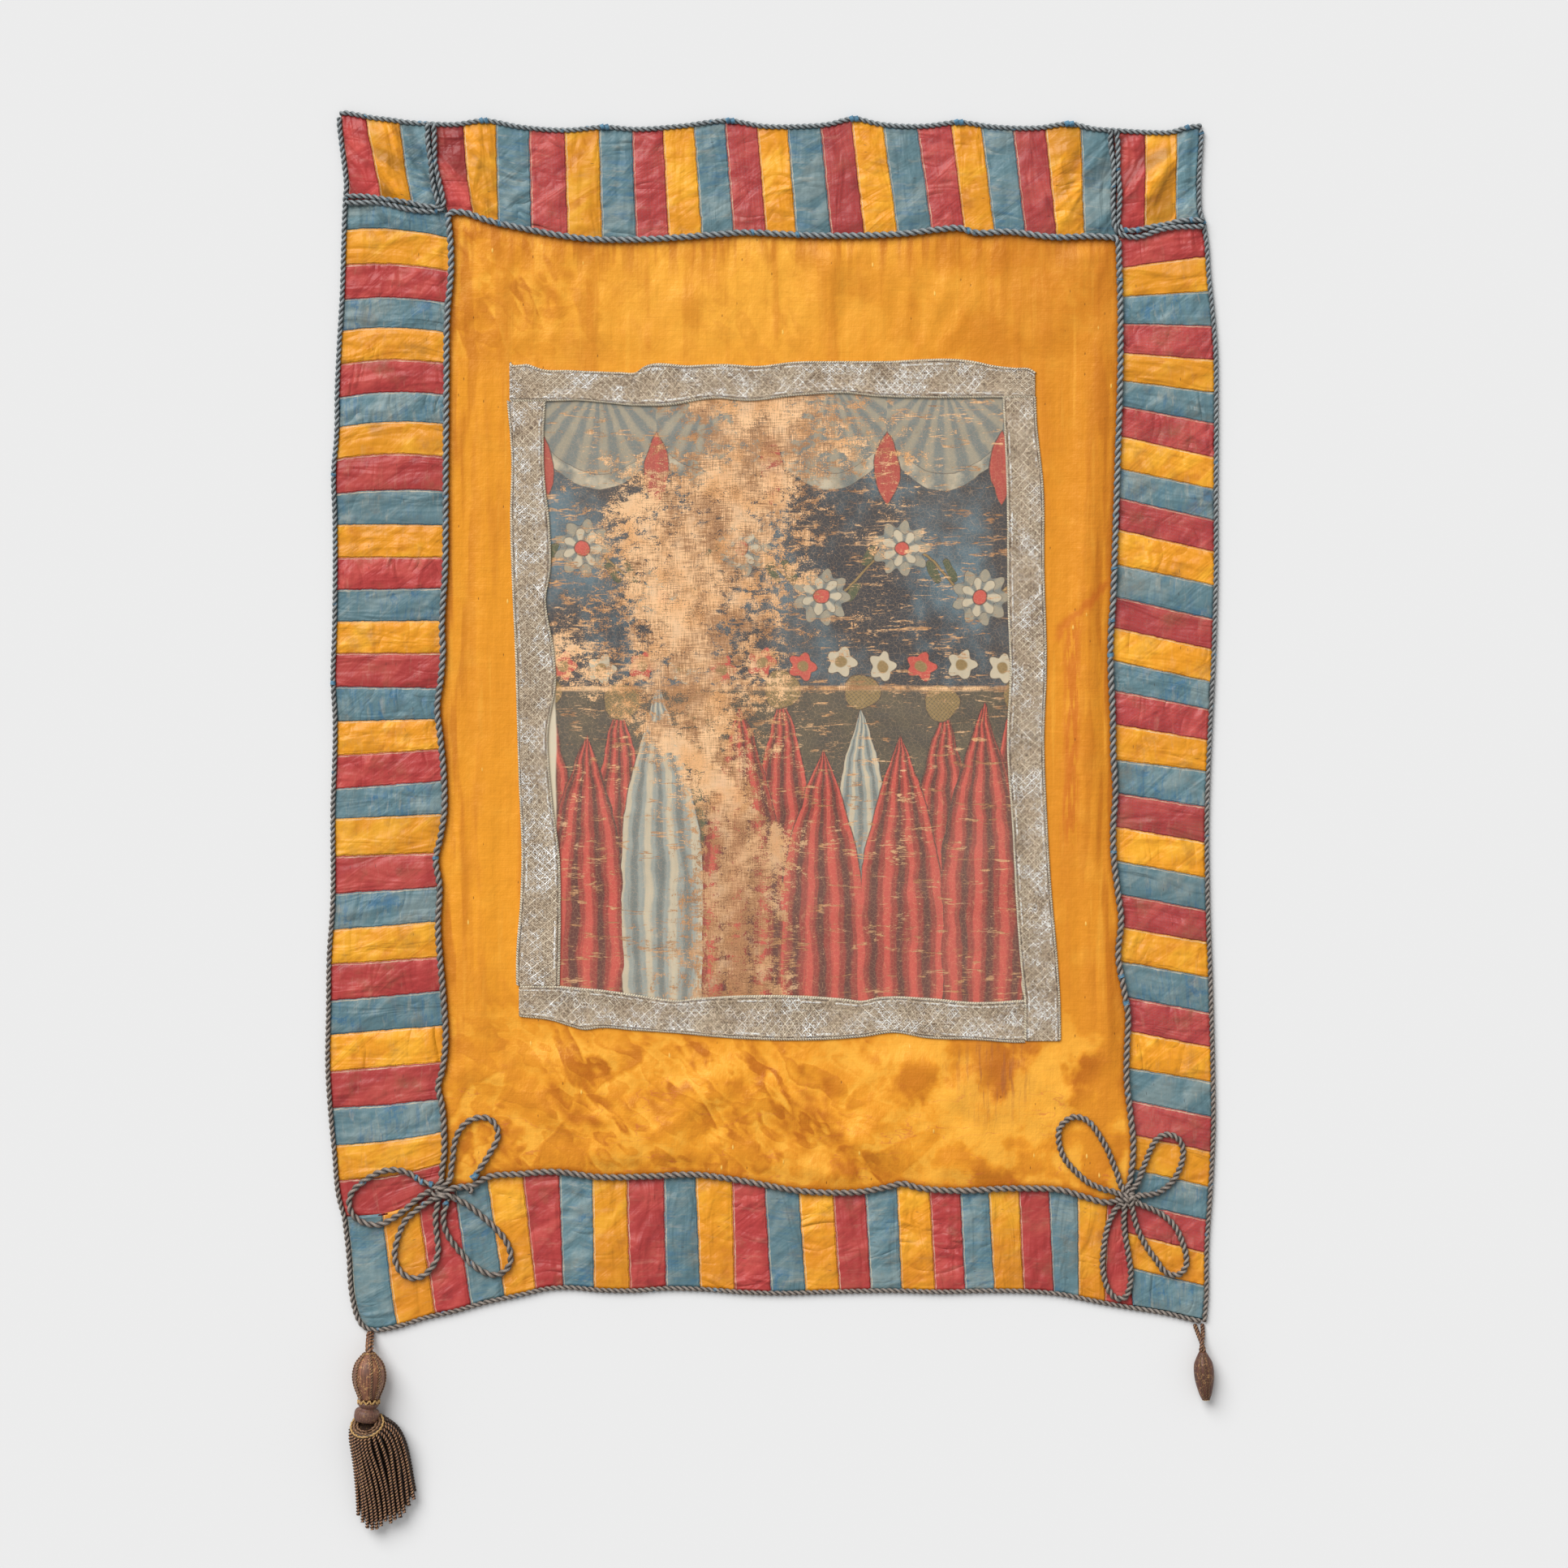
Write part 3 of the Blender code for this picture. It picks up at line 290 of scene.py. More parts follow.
class Wire:     # a socket that takes part in sums: each sign adds its Math node
    def __init__(self, graph, socket):
        self.graph, self.socket = graph, socket

    def __add__(self, other):
        return self.graph.sum("ADD", self, other)

    def __sub__(self, other):
        return self.graph.sum("SUBTRACT", self, other)

    def __rsub__(self, other):
        return self.graph.sum("SUBTRACT", other, self)

    def __mul__(self, other):
        return self.graph.sum("MULTIPLY", self, other)

    def __truediv__(self, other):
        return self.graph.sum("DIVIDE", self, other)

    def __rtruediv__(self, other):
        return self.graph.sum("DIVIDE", other, self)

    def __pow__(self, other):
        return self.graph.sum("POWER", self, other)

    def __mod__(self, other):
        return self.graph.sum("FLOORED_MODULO", self, other)

    def __gt__(self, other):
        return self.graph.sum("GREATER_THAN", self, other)

    def __abs__(self):
        return self.graph.sum("ABSOLUTE", self)

    __radd__, __rmul__ = __add__, __mul__


class Graph:     # a material's nodes
    def __init__(self, name):
        self.material = bpy.data.materials.new(name)
        self.material.use_nodes = True
        self.nodes, self.links = self.material.node_tree.nodes, self.material.node_tree.links
        self.shader = self.nodes["Principled BSDF"]

    def node(self, kind, settings=None, inputs=(), output=0):     # no output: a wire from each one
        made = self.nodes.new(kind)
        for key, value in (settings or {}).items():
            setattr(made, key, value)
        for key, value in inputs.items() if isinstance(inputs, dict) else enumerate(inputs):
            self.feed(made.inputs[key], value)
        return [Wire(self, s) for s in made.outputs] if output is None else Wire(self, made.outputs[output])

    def feed(self, socket, value):
        if isinstance(value, Wire):
            self.links.new(value.socket, socket)
        elif socket.type == "RGBA":
            socket.default_value = (*value[:3], 1)
        else:
            socket.default_value = value

    def put(self, **inputs):     # sockets of the shader, an underscore for each space in their names
        for key, value in inputs.items():
            self.feed(self.shader.inputs[key.replace("_", " ")], value)
        return self.material

    def sum(self, operation, *values):
        return self.node("ShaderNodeMath", {"operation": operation}, values)

    def most(self, first, second):
        return self.sum("MAXIMUM", first, second)

    def wave(self, value):
        return self.sum("SINE", value)

    def away(self, x, y):
        return self.sum("SQRT", x * x + y * y)

    def vectors(self, operation, *values):
        return self.node("ShaderNodeVectorMath", {"operation": operation}, values)

    def scaled(self, vector, x, y, z=1.0):
        return self.vectors("MULTIPLY", vector, (x, y, z))

    def point(self, x, y, z=0.0):
        return self.node("ShaderNodeCombineXYZ", inputs=[x, y, z])

    def parts(self, vector):
        return self.node("ShaderNodeSeparateXYZ", inputs=[vector], output=None)

    def place(self):
        return self.node("ShaderNodeTexCoord", output="Object")

    def cloth(self):
        return self.node("ShaderNodeUVMap", {"uv_map": "along"})

    def value(self, name):
        return self.node("ShaderNodeAttribute", {"attribute_name": name}, output="Fac")

    def noise(self, vector, scale, detail=2.0, roughness=0.5, distortion=0.0, output=0):
        return self.node("ShaderNodeTexNoise", {}, {
            "Vector": vector, "Scale": scale, "Detail": detail, "Roughness": roughness, "Distortion": distortion,
        }, output)

    def drawn(self, vector, x, y, detail=3.0, roughness=0.6, distortion=0.0, z=1.0):     # waves a metre each way
        return self.noise(self.scaled(vector, x, y, z), 1.0, detail, roughness, distortion)

    def slant(self, vector, degrees, along, across, aside=0.0, detail=2.0, roughness=0.5, distortion=0.0):
        # noise that runs along a direction, with its waves a metre along it and across it
        x, y, _ = self.parts(vector)
        lengthwise, crosswise = turnedPlace(x, y, degrees)
        return self.noise(self.point(lengthwise * along, crosswise * across, aside), 1.0, detail, roughness, distortion)

    def own(self, number):     # for each number another one from 0 to 1
        return self.node("ShaderNodeTexWhiteNoise", {"noise_dimensions": "1D"}, {"W": number})

    def cells(self, vector, feature="F1", output="Distance"):
        return self.node("ShaderNodeTexVoronoi", {"feature": feature}, {"Vector": vector, "Scale": 1.0}, output)

    def flecks(self, vector, x, y, edge, core, rarity):
        # dots in cells with x and y of them a metre, in those cells whose own number is above the rarity
        place = self.scaled(vector, x, y)
        own = self.parts(self.cells(place, output="Color"))[0]
        return self.step(self.cells(place), edge, core) * (own > rarity)

    def step(self, value, low, high):     # 0 below low, 1 above high and 3t^2 - 2t^3 between
        return self.node("ShaderNodeMapRange", {"interpolation_type": "SMOOTHSTEP"}, {
            "Value": value, "From Min": low, "From Max": high,
        })

    def mix(self, share, a, b):
        return self.node("ShaderNodeMix", {"data_type": "RGBA"}, {0: share, 6: a, 7: b}, 2)

    def coats(self, look, colour, *coats):     # tones of a look laid over a colour, each by its own share
        for share, name in coats:
            colour = self.mix(share, colour, look[name])
        return colour

    def shade(self, colour, amount):     # a colour times a number from about 0.5 to 1.5
        return self.node("ShaderNodeVectorMath", {"operation": "SCALE"}, {"Vector": colour, "Scale": amount})

    def bump(self, height, distance, strength=1.0, normal=None):
        under = {} if normal is None else {"Normal": normal}
        return self.node("ShaderNodeBump", {}, {"Height": height, "Distance": distance, "Strength": strength, **under})


def tone(red, green, blue):     # a colour as seen on a screen, 0 to 255, as the linear one that shaders use
    seen = np.array((red, green, blue)) / 255
    return tuple(float(c) for c in np.where(seen <= 0.04045, seen / 12.92, ((seen + 0.055) / 1.055) ** 2.4))


# the flag's plan: its seams and edges, as in the model's own source

corners = {
    "top_left": (-458, 747.5),
    "top_right": (455, 734.5),
    "bottom_left": (-434.5, -535),
    "bottom_right": (457.7, -532),
}
fieldCorners = {
    "top_left": (-343.6, 642.8),
    "top_right": (366.5, 615.5),
    "bottom_left": (-349.4, -393.2),
    "bottom_right": (374.7, -398.4),
}
seamEnds = {
    "top_1": (-361.5, 736.5),
    "top_2": (361, 729.7),
    "left_1": (-451.9, 656),
    "left_2": (-452.9, -420.7),
    "right_1": (457.1, 631),
    "bottom_1": (382.5, -517.3),
}
planRuns = {     # points of each seam and edge, from one end to the other
    "top1": (
        corners["top_left"], (-452, 748.2), (-440, 746.3), (-422, 743), (-405, 741), (-388, 738.5), seamEnds["top_1"],
    ),
    # the top edge hangs a little between six ties, which lift it at x -305, -177, -44, 87, 198 and 315
    "top2": (
        seamEnds["top_1"], (-336, 736), (-305, 740), (-268, 733.5), (-216, 730), (-177, 733.2), (-147, 731),
        (-96, 734.3), (-44, 739.8), (-10, 734.2), (25, 733.8), (59, 736), (87, 742), (111, 736.8), (162, 734.2),
        (198, 738.2), (231, 733.8), (283, 732.5), (315, 736.5), (343, 731), seamEnds["top_2"],
    ),
    "top3": (seamEnds["top_2"], (386, 728.2), (404, 727.4), (421, 727.6), (442, 733.2), corners["top_right"]),
    "left1": (corners["top_left"], (-458.2, 738), (-456.6, 722), (-452.8, 692), (-450.8, 672), seamEnds["left_1"]),
    "left2": (
        seamEnds["left_1"], (-452.6, 640), (-453.5, 610), (-455, 559), (-458, 507), (-460.4, 456), (-461.2, 404),
        (-464.2, 370), (-462.9, 318), (-463.4, 198), (-464.8, 144), (-462.9, 111), (-465, 8), (-465.5, -95),
        (-469, -146), (-469.6, -198), (-470.3, -267), (-466.8, -318), (-463.4, -353), (-457.8, -404),
        seamEnds["left_2"],
    ),
    "left3": (
        seamEnds["left_2"], (-448, -464), (-445.7, -499), (-443.2, -513), (-439.4, -526.5), corners["bottom_left"],
    ),
    "right1": (corners["top_right"], (454.2, 714), (452.2, 680), (452, 662), (453, 645), seamEnds["right_1"]),
    "right2": (
        seamEnds["right_1"], (460, 610), (462.5, 576), (466, 542), (469, 507), (470.3, 438), (470, 352), (469.8, 249),
        (467.2, 163), (463, 77), (460.3, -9), (461.2, -78), (464.6, -181), (466.7, -267), (467.3, -318),
        (464.6, -387), (460, -456), (459.6, -508), corners["bottom_right"],
    ),
    "bottom1": (
        corners["bottom_left"], (-428.6, -539), (-420, -540.6), (-405, -538.6), (-388, -534.3), (-371, -528.7),
        (-336, -520.5), (-302, -511), (-268, -503.7), (-233, -496.2), (-216, -495.6), (-182, -498.4), (-147, -499),
        (-113, -496.6), (-78, -497.2), (-27, -500.7), (8, -501.6), (59, -500.2), (128, -499), (179, -500.2),
        (231, -499.1), (300, -502), (351, -511.8), seamEnds["bottom_1"],
    ),
    "bottom2": (seamEnds["bottom_1"], (402, -520.3), (420, -523.5), (440, -528.4), corners["bottom_right"]),
    "blockLeftDown": (seamEnds["top_1"], (-360, 705), (-356.5, 679), (-350.5, 659), fieldCorners["top_left"]),
    "blockLeftAcross": (
        seamEnds["left_1"], (-422, 656), (-405, 653.4), (-388, 650), (-362, 646.3), fieldCorners["top_left"],
    ),
    "blockRightDown": (seamEnds["top_2"], (363.6, 696), (364.4, 653), (365, 632), fieldCorners["top_right"]),
    "blockRightAcross": (fieldCorners["top_right"], (382, 620), (412, 626.8), (438, 631), seamEnds["right_1"]),
    # the doubled cords turn inside the seams' inner ends, to leave the field's own cord its corner
    "fieldTop": (
        fieldCorners["top_left"], (-328, 642.8), (-302, 634.5), (-268, 626.7), (-233, 619.8), (-199, 615),
        (-147, 613.8), (-96, 616.4), (-61, 619.2), (-27, 621.4), (8, 619.8), (59, 618), (145, 620.8), (179, 624.8),
        (198, 626), (214, 621.4), (248, 622.2), (300, 616.4), (344, 617.2), fieldCorners["top_right"],
    ),
    "fieldLeft": (
        fieldCorners["top_left"], (-340, 606), (-340, 576), (-343.3, 542), (-344.7, 456), (-345.5, 352),
        (-346.1, 266), (-349.3, 198), (-348.4, 180), (-351, 146), (-354.5, 120), (-351, 86), (-347.8, 51),
        (-347.8, 0), (-351, -19), (-356, -41), (-352, -69), (-353.7, -112), (-350.7, -155), (-347.8, -189),
        (-346, -241), (-349.4, -267), (-353.5, -282), (-349.6, -301), (-347, -336), (-347, -353), (-349.8, -378),
        fieldCorners["bottom_left"],
    ),
    "fieldRight": (
        fieldCorners["top_right"], (368.6, 550), (368.3, 456), (366.1, 387), (362.8, 284), (361, 232), (358.4, 189),
        (358.4, 163), (360.5, 112), (361.2, 69), (363.4, 26), (361, -9), (361.9, -43), (366.1, -78), (369.4, -103),
        (366.4, -146), (372.6, -181), (376.7, -207), (375.6, -241), (375.2, -275), (379, -310), (382.3, -344),
        (379.5, -378), fieldCorners["bottom_right"],
    ),
    "fieldBottom": (
        fieldCorners["bottom_left"], (-335, -389.8), (-317, -387), (-302, -378.8), (-268, -375.3), (-233, -372.8),
        (-182, -378.4), (-130, -377.7), (-78, -376), (-44, -380.4), (-10, -386.3), (25, -392.6), (59, -394.9),
        (93, -394.1), (124, -388.5), (137, -385.4), (154, -389.6), (179, -392.3), (265, -390.4), (308, -392.6),
        (334, -400.5), (351, -405), (362, -404.5), fieldCorners["bottom_right"],
    ),
    "diagonal": (seamEnds["left_2"], (-405, -415.6), fieldCorners["bottom_left"]),
    "rightFoot": (fieldCorners["bottom_right"], (377.5, -456), seamEnds["bottom_1"]),
}
galloonOutside = {
    "top": ((-278, 484), (-259, 481.6), (-246, 477), (-215, 475.5), (-182, 474), (-162, 473.4),
            (-144, 474), (-139, 478), (-87, 480.6), (-52, 482), (-18, 480), (25, 484.6), (59, 485),
            (111, 485), (215, 484.6), (231, 481), (255, 478), (272, 477)),
    "left": ((-280.5, 456), (-277, 404), (-276, 387), (-277, 318), (-275.4, 258), (-272, 180), (-270.5, 129),
             (-268, 42), (-265, -43), (-266.8, -95), (-270.3, -138), (-270.3, -181)),
    "right": ((280, 421), (287, 352), (288, 266), (290.5, 163), (288, 77), (290.5, 8), (295.6, -78),
              (301.7, -146), (305, -198)),
    "bottom": ((-233, -213), (-214, -219), (-200, -222.5), (-185, -220.5), (-148, -223), (-96, -226.5),
               (-61, -230), (94, -230), (128, -225.5), (162, -231), (214, -233), (262, -236), (290, -234.5)),
}
galloonCorners = {
    "top_left": (-278, 484.5),
    "top_right": (278.5, 473),
    "bottom_left": (-268, -208.5),
    "bottom_right": (305.5, -229),
}
canvasOpening = {
    "top": ((-205, 443.6), (-175, 441), (-156, 439), (-113, 438.5), (-61, 446), (-27, 443.5), (25, 449),
            (76, 451.5), (111, 448), (162, 446.5)),
    "left": ((-242, 404), (-241.5, 369), (-235, 301), (-234.5, 266), (-239.5, 232), (-231.5, 180),
             (-229, 146), (-237, 94), (-233.5, 25), (-225, -43), (-224, -95)),
    "right": ((248.5, 352), (250, 215), (252, 163), (249, 77), (254.5, -9), (259.5, -103), (263.5, -155)),
    "bottom": ((-173, -181.5), (-130, -188), (-104, -191.5), (-78, -189), (76, -190), (94, -192),
               (111, -188.5), (162, -189), (214, -193.5)),
}
openingCorners = {
    "top_left": (-240, 443),
    "top_right": (244.5, 447),
    "bottom_left": (-225, -176.5),
    "bottom_right": (267.5, -191),
}
line = {name: throughPoints(*points) for name, points in planRuns.items()}
line["bottomSeam"] = joined(line["diagonal"], line["fieldBottom"])
line["rightSeam"] = joined(line["fieldRight"], line["rightFoot"])
sideEnds = {
    "top": ("top_left", "top_right"),
    "bottom": ("bottom_left", "bottom_right"),
    "left": ("top_left", "bottom_left"),
    "right": ("top_right", "bottom_right"),
}


def framed(side, corners, points):     # one side of the galloon or of its opening, from corner to corner
    first, last = sideEnds[side]
    return throughPoints(corners[first], *points[side], corners[last])


# silk

folds = {
    # Main folds as soft ridges: x, y, half length, half width, turn in degrees, height
    "ridges": (
        (-300, 575, 60, 24, -60, 4.0),
        (-235, 560, 80, 26, -35, 3.5),
        (-60, 560, 70, 30, 25, 3.0),
        (60, 575, 60, 24, 70, 4.0),
        (190, 560, 80, 28, -30, 3.5),
        (320, 570, 60, 26, 60, 3.5),
        (322, 180, 260, 26, 88, 3.0),
        (-285, -330, 90, 28, -62, 4.5),
        (-215, -285, 90, 26, -48, 4.0),
        (-110, -320, 80, 28, 35, 4.5),
        (0, -300, 90, 26, -20, 4.0),
        (100, -330, 70, 26, 50, 4.5),
        (215, -300, 90, 28, -35, 4.0),
        (-410, 700, 60, 18, -58, 3.5),
        (-320, 690, 50, 18, -50, 3.5),
        (-150, 680, 40, 22, 0, 2.5),
        (30, 680, 40, 22, 10, 2.5),
        (230, 680, 50, 22, -15, 2.5),
        (415, 690, 50, 18, 40, 3.5),
        (-405, 480, 40, 22, 85, 2.5),
        (-408, 200, 60, 22, 90, 2.5),
        (-410, -120, 60, 22, 90, 2.5),
        (418, 470, 50, 22, 90, 2.5),
        (412, 150, 60, 22, 90, 2.5),
        (418, -170, 60, 22, 90, 2.5),
        (-150, -450, 60, 20, 5, 2.5),
        (120, -450, 60, 20, -5, 2.5),
    ),
    "clearOfGalloon": 30,
    "clearOfKnot": (95, 40),     # flat up to the first distance and full after the second one
}
footLine = {"y": -225, "over": 60}     # below this line the field is crumpled


def ridgeHeight(x, y):
    # Each ridge is its height times exp(-(distance along / half length)^2 - (distance across / half width)^2)
    height = np.zeros(x.shape)
    for ridgeX, ridgeY, halfLength, halfWidth, turn, tall in folds["ridges"]:
        along, across = turnedPlace(x - ridgeX, y - ridgeY, turn)
        height += tall * np.exp(-((along / halfLength) ** 2) - (across / halfWidth) ** 2)
    return height


def clearOfTrim(x, y):     # 0 at the galloon and the canvas, 1 away from them
    around = np.array(list(galloonCorners.values()), float)
    (lowX, lowY), (highX, highY) = around.min(0), around.max(0)
    outside = np.hypot(
        np.maximum(0, np.abs(x - (lowX + highX) / 2) - (highX - lowX) / 2),
        np.maximum(0, np.abs(y - (lowY + highY) / 2) - (highY - lowY) / 2),
    )
    return ease(outside / folds["clearOfGalloon"])


def clearOfLoops(x, y):
    near, over = folds["clearOfKnot"]
    away = [np.hypot(x - fieldCorners[k][0], y - fieldCorners[k][1]) for k in ("bottom_left", "bottom_right")]
    return ease((np.minimum(*away) - near) / over)


def insetLines(sides, widths):
    # Each side moved inwards by its own width; the four lines are then cut where they cross
    inward = {"top": -1, "bottom": 1, "left": 1, "right": -1}
    moved = {k: sides[k] + inward[k] * widths[k] * leftOf(sides[k]) for k in inward}
    reach, near, short = 12, 40, 0.6     # points that give an end's way, and how its overshoot is found
    for flat, flatEnd in (("top", 0), ("top", -1), ("bottom", 0), ("bottom", -1)):
        tall, tallEnd = "right" if flatEnd else "left", -1 if flat == "bottom" else 0
        a, b = moved[flat], moved[tall]
        aEnd, bEnd = a[flatEnd], b[tallEnd]
        aWay = aEnd - a[reach if flatEnd == 0 else -reach]
        bWay = bEnd - b[reach if tallEnd == 0 else -reach]
        share = np.linalg.solve(np.stack([aWay, -bWay], axis=1), bEnd - aEnd)
        corner = aEnd + share[0] * aWay
        for key, way, end in ((flat, aWay, flatEnd), (tall, bWay, tallEnd)):
            points = moved[key]
            before = (points - corner) @ (way / np.linalg.norm(way)) < -short
            points = points[before | (np.linalg.norm(points - corner, axis=1) > near)]
            moved[key] = np.concatenate([[corner], points] if end == 0 else [points, [corner]])
    return moved


def patchBetween(sides, columns, rows):
    # A grid between four lines: the blend of the lines across and that of the lines down, less that of the corners
    top, bottom = (resample(sides[k], columns) for k in ("top", "bottom"))
    left, right = (resample(sides[k], rows)[:, None] for k in ("left", "right"))
    u, v = np.linspace(0, 1, columns)[None, :, None], np.linspace(0, 1, rows)[:, None, None]
    corner = (1 - v) * ((1 - u) * top[0] + u * top[-1]) + v * ((1 - u) * bottom[0] + u * bottom[-1])
    return (1 - v) * top[None] + v * bottom[None] + (1 - u) * left + u * right - corner


def rimDistances(plan):
    # How far each point is from the grid's four rims: top, bottom, left, right
    return [np.linalg.norm(plan - rim, axis=-1) for rim in (plan[:1], plan[-1:], plan[:, :1], plan[:, -1:])]


fieldSilk = {
    "size": (716, 1030),
    "spacing": 4.6,
    "inset": 0.15,
    "flatAtCords": 4.5,        # the silk stays down this far from a seam
    "riseBy": 18.0,
    "bottomFolds": 4.2,        # heights of the fine folds
    "topFolds": 2.4,
    "sideFolds": 1.8,
    "topFrom": 470,
    # noises whose sum is the foot's folds: share, length, width, turn, seed
    "crossed": ((0.6, 130, 44, 48, 6), (0.35, 90, 30, -20, 7), (0.2, 60, 18, 35, 8)),
    "base": (1.2, 3.0),        # lift of the whole: elsewhere, and at the foot
    "warp": (8, 70),           # how far the folds' places are shifted by a soft noise, and its cell
    "puckers": 2.4,
    "puckerPitch": 15.0,
    "puckerReach": (26, 30, 14),     # from the top, the foot and the sides
    "cutSize": (0.725, 1.035),     # m
}


def fieldRelief(x, y, rims):
    top, bottom, left, right = rims
    s = fieldSilk
    low = ease((footLine["y"] - y) / footLine["over"])
    high = ease((y - s["topFrom"]) / footLine["over"])
    side = 1 - np.maximum(low, high)
    shift, cell = s["warp"]
    warpX, warpY = x + shift * softNoise(x, y, cell, 3), y + shift * softNoise(x, y, cell, 4)
    # a fold is 1 - 2|noise|, which leaves a crisp line along its top
    crossed = 0.9 * (1 - 2 * np.abs(longNoise(warpX, warpY, 170, 50, -48, 5))) - 0.7
    for share, *shape in s["crossed"]:
        crossed += share * longNoise(warpX, warpY, *shape)
    gentle = longNoise(warpX, warpY, 150, 45, -50, 9) - np.abs(longNoise(warpX, warpY, 90, 28, 75, 10))
    upright = longNoise(x, y, 420, 22, 90, 11) + 0.5 * longNoise(x, y, 200, 40, 84, 12)
    height = s["bottomFolds"] * low * crossed + s["topFolds"] * high * gentle + s["sideFolds"] * side * upright
    height += ridgeHeight(x, y)
    # gathers along the top and the foot, and shorter ones at the sides
    pitch = s["puckerPitch"] + 4 * softNoise(x, 0 * y, 60, 13)
    gather = 0.5 + 0.5 * np.sin(2 * math.pi * x / pitch + 2 * softNoise(x, y, 60, 14))
    fromTop, fromFoot, fromSide = s["puckerReach"]
    near = np.exp(-top / fromTop) + 0.9 * np.exp(-bottom / fromFoot)
    gather = gather * near * (0.5 + softNoise(x, 0 * y, 70, 15))
    sideGather = np.exp(-np.minimum(left, right) / fromSide) * softNoise(3 * x, y, 14, 16)
    return height + s["puckers"] * (gather + 0.5 * sideGather)


def makeField():
    s = fieldSilk
    sides = {side: line["field" + side.title()] for side in sideEnds}
    columns, rows = (int(length / s["spacing"]) for length in s["size"])
    plan = patchBetween(insetLines(sides, dict.fromkeys(sides, s["inset"])), columns, rows)
    x, y = plan[..., 0], plan[..., 1]
    rims = rimDistances(plan)
    nearest = np.minimum.reduce(rims)
    lift = ease((nearest - s["flatAtCords"]) / s["riseBy"]) * clearOfTrim(x, y) * (0.15 + 0.85 * clearOfLoops(x, y))
    base = s["base"][0] + (s["base"][1] - s["base"][0]) * ease((footLine["y"] - y) / footLine["over"])
    rise = np.maximum(lift * (fieldRelief(x, y, rims) + base), -0.3)
    edge = 0.35 * ease(1 - nearest / 4)     # the silk thins to its seam
    part = closedSheet(plan, np.maximum(rise, 0) * 0.98, flag["silk"] + rise - edge, plan * 0.001,
                       {"fromCord": nearest * 0.001})
    piece = putMesh("silk_field", [part], amberSatin(), ["field"])


# The border's runs: their four sides as lines of the plan, which side is the outer rim, which sides are
# edges of the flag, and the strips' seams in photo pixels at the outer and the inner rim, in order
borders = {
    "border_top": {
        "sides": ("top2", "fieldTop", "blockLeftDown", "blockRightDown"),     # top, bottom, left, right
        "rim": "top", "edges": ("top",),
        "first": 0,     # the first strip's silk: 0 red, 1 yellow, 2 blue
        "onward": 1,    # and the steps from each strip's silk to the next one's
        "outer": (571, 611, 652, 696, 738, 779, 817, 855, 893, 933, 970, 1011, 1049, 1088, 1130, 1172, 1209,
                  1248, 1288, 1331),
        "inner": (583, 614, 655, 700, 742, 784, 824, 865, 904, 944, 981, 1024, 1065, 1106, 1148, 1188, 1225,
                  1263, 1302, 1336),
    },
    "border_left": {
        "sides": ("blockLeftAcross", "diagonal", "left2", "fieldLeft"), "rim": "left", "edges": ("left",),
        "bows": ((4.3, 11, -3), (-2.5, 26, 2)),     # the strips' bend: mm, from this strip, over these strips
        "first": 2, "onward": -1,
        "outer": (284, 327, 370, 408, 449, 490, 527, 566, 609, 647, 687, 727, 766, 805, 846, 889, 931, 972,
                  1009, 1055, 1101, 1146, 1188, 1233, 1275, 1320, 1365, 1411, 1454),
        "inner": (294, 335, 374, 410, 448, 487, 523, 563, 606, 648, 687, 725, 765, 805, 848, 886, 923, 962,
                  1003, 1051, 1093, 1135, 1179, 1221, 1263, 1308, 1354, 1394, 1433),
    },
    "border_bottom": {
        "sides": ("bottomSeam", "bottom1", "left3", "rightFoot"), "rim": "bottom", "edges": ("left", "bottom"),
        "first": 2, "onward": -1,
        "outer": (490, 536, 580, 622, 660, 694, 732, 776, 821, 863, 905, 950, 993, 1034, 1073, 1111, 1152,
                  1189, 1225, 1261, 1298, 1329, 1361, 1396),
        "inner": (471, 515, 560, 600, 644, 689, 730, 772, 818, 857, 902, 942, 984, 1026, 1066, 1105, 1145,
                  1183, 1218, 1255, 1292, 1328, 1364, 1393),
    },
    "border_right": {
        "sides": ("blockRightAcross", "bottom2", "rightSeam", "right2"), "rim": "right", "edges": ("right", "bottom"),
        "first": 0, "onward": 1,
        "outer": (317, 359, 402, 444, 484, 522, 564, 603, 641, 680, 721, 763, 800, 840, 874, 912, 950, 994,
                  1038, 1081, 1122, 1161, 1204, 1248, 1290, 1333, 1376, 1419, 1462, 1503, 1543, 1584),
        "inner": (331, 366, 399, 435, 469, 500, 537, 577, 613, 652, 695, 735, 773, 813, 850, 892, 936, 977,
                  1018, 1060, 1101, 1142, 1184, 1228, 1270, 1315, 1355, 1398, 1440, 1480, 1519, 1562),
    },
    "corner_block_left": {
        "sides": ("top1", "blockLeftAcross", "left1", "blockLeftDown"), "rim": "top", "edges": ("top", "left"),
        "first": 0, "onward": 1, "outer": (451, 493), "inner": (470, 509),
    },
    "corner_block_right": {
        "sides": ("top3", "blockRightAcross", "blockRightDown", "right1"), "rim": "top", "edges": ("top", "right"),
        "first": 0, "onward": 1, "outer": (1411, 1450), "inner": (1410, 1450),
    },
}

stripSilk = {
    "spacing": 3.1,            # of points, along and across the strips
    "inset": 0.15,
    "underEdgeCord": 1.7,      # from the edge's line to the silk's turned edge
    "flatAtCords": 5.0,
    "flatAtEdges": 3.0,
    "riseBy": 9,
    "pillow": 1.1,             # how far a strip swells between its seams
    "wrinkles": 0.96,
    "longWrinkles": 0.65,
    "gathers": (0.9, 12),      # height, and reach from the rims
    "bentStrips": 2.0,         # strips at a run's ends that lean towards its end seams
    "ridges": {"border": 0.8, "corner": 1.3},     # share of the main folds' height
    "seamDip": (0.45, 1.6),    # depth and half width
}


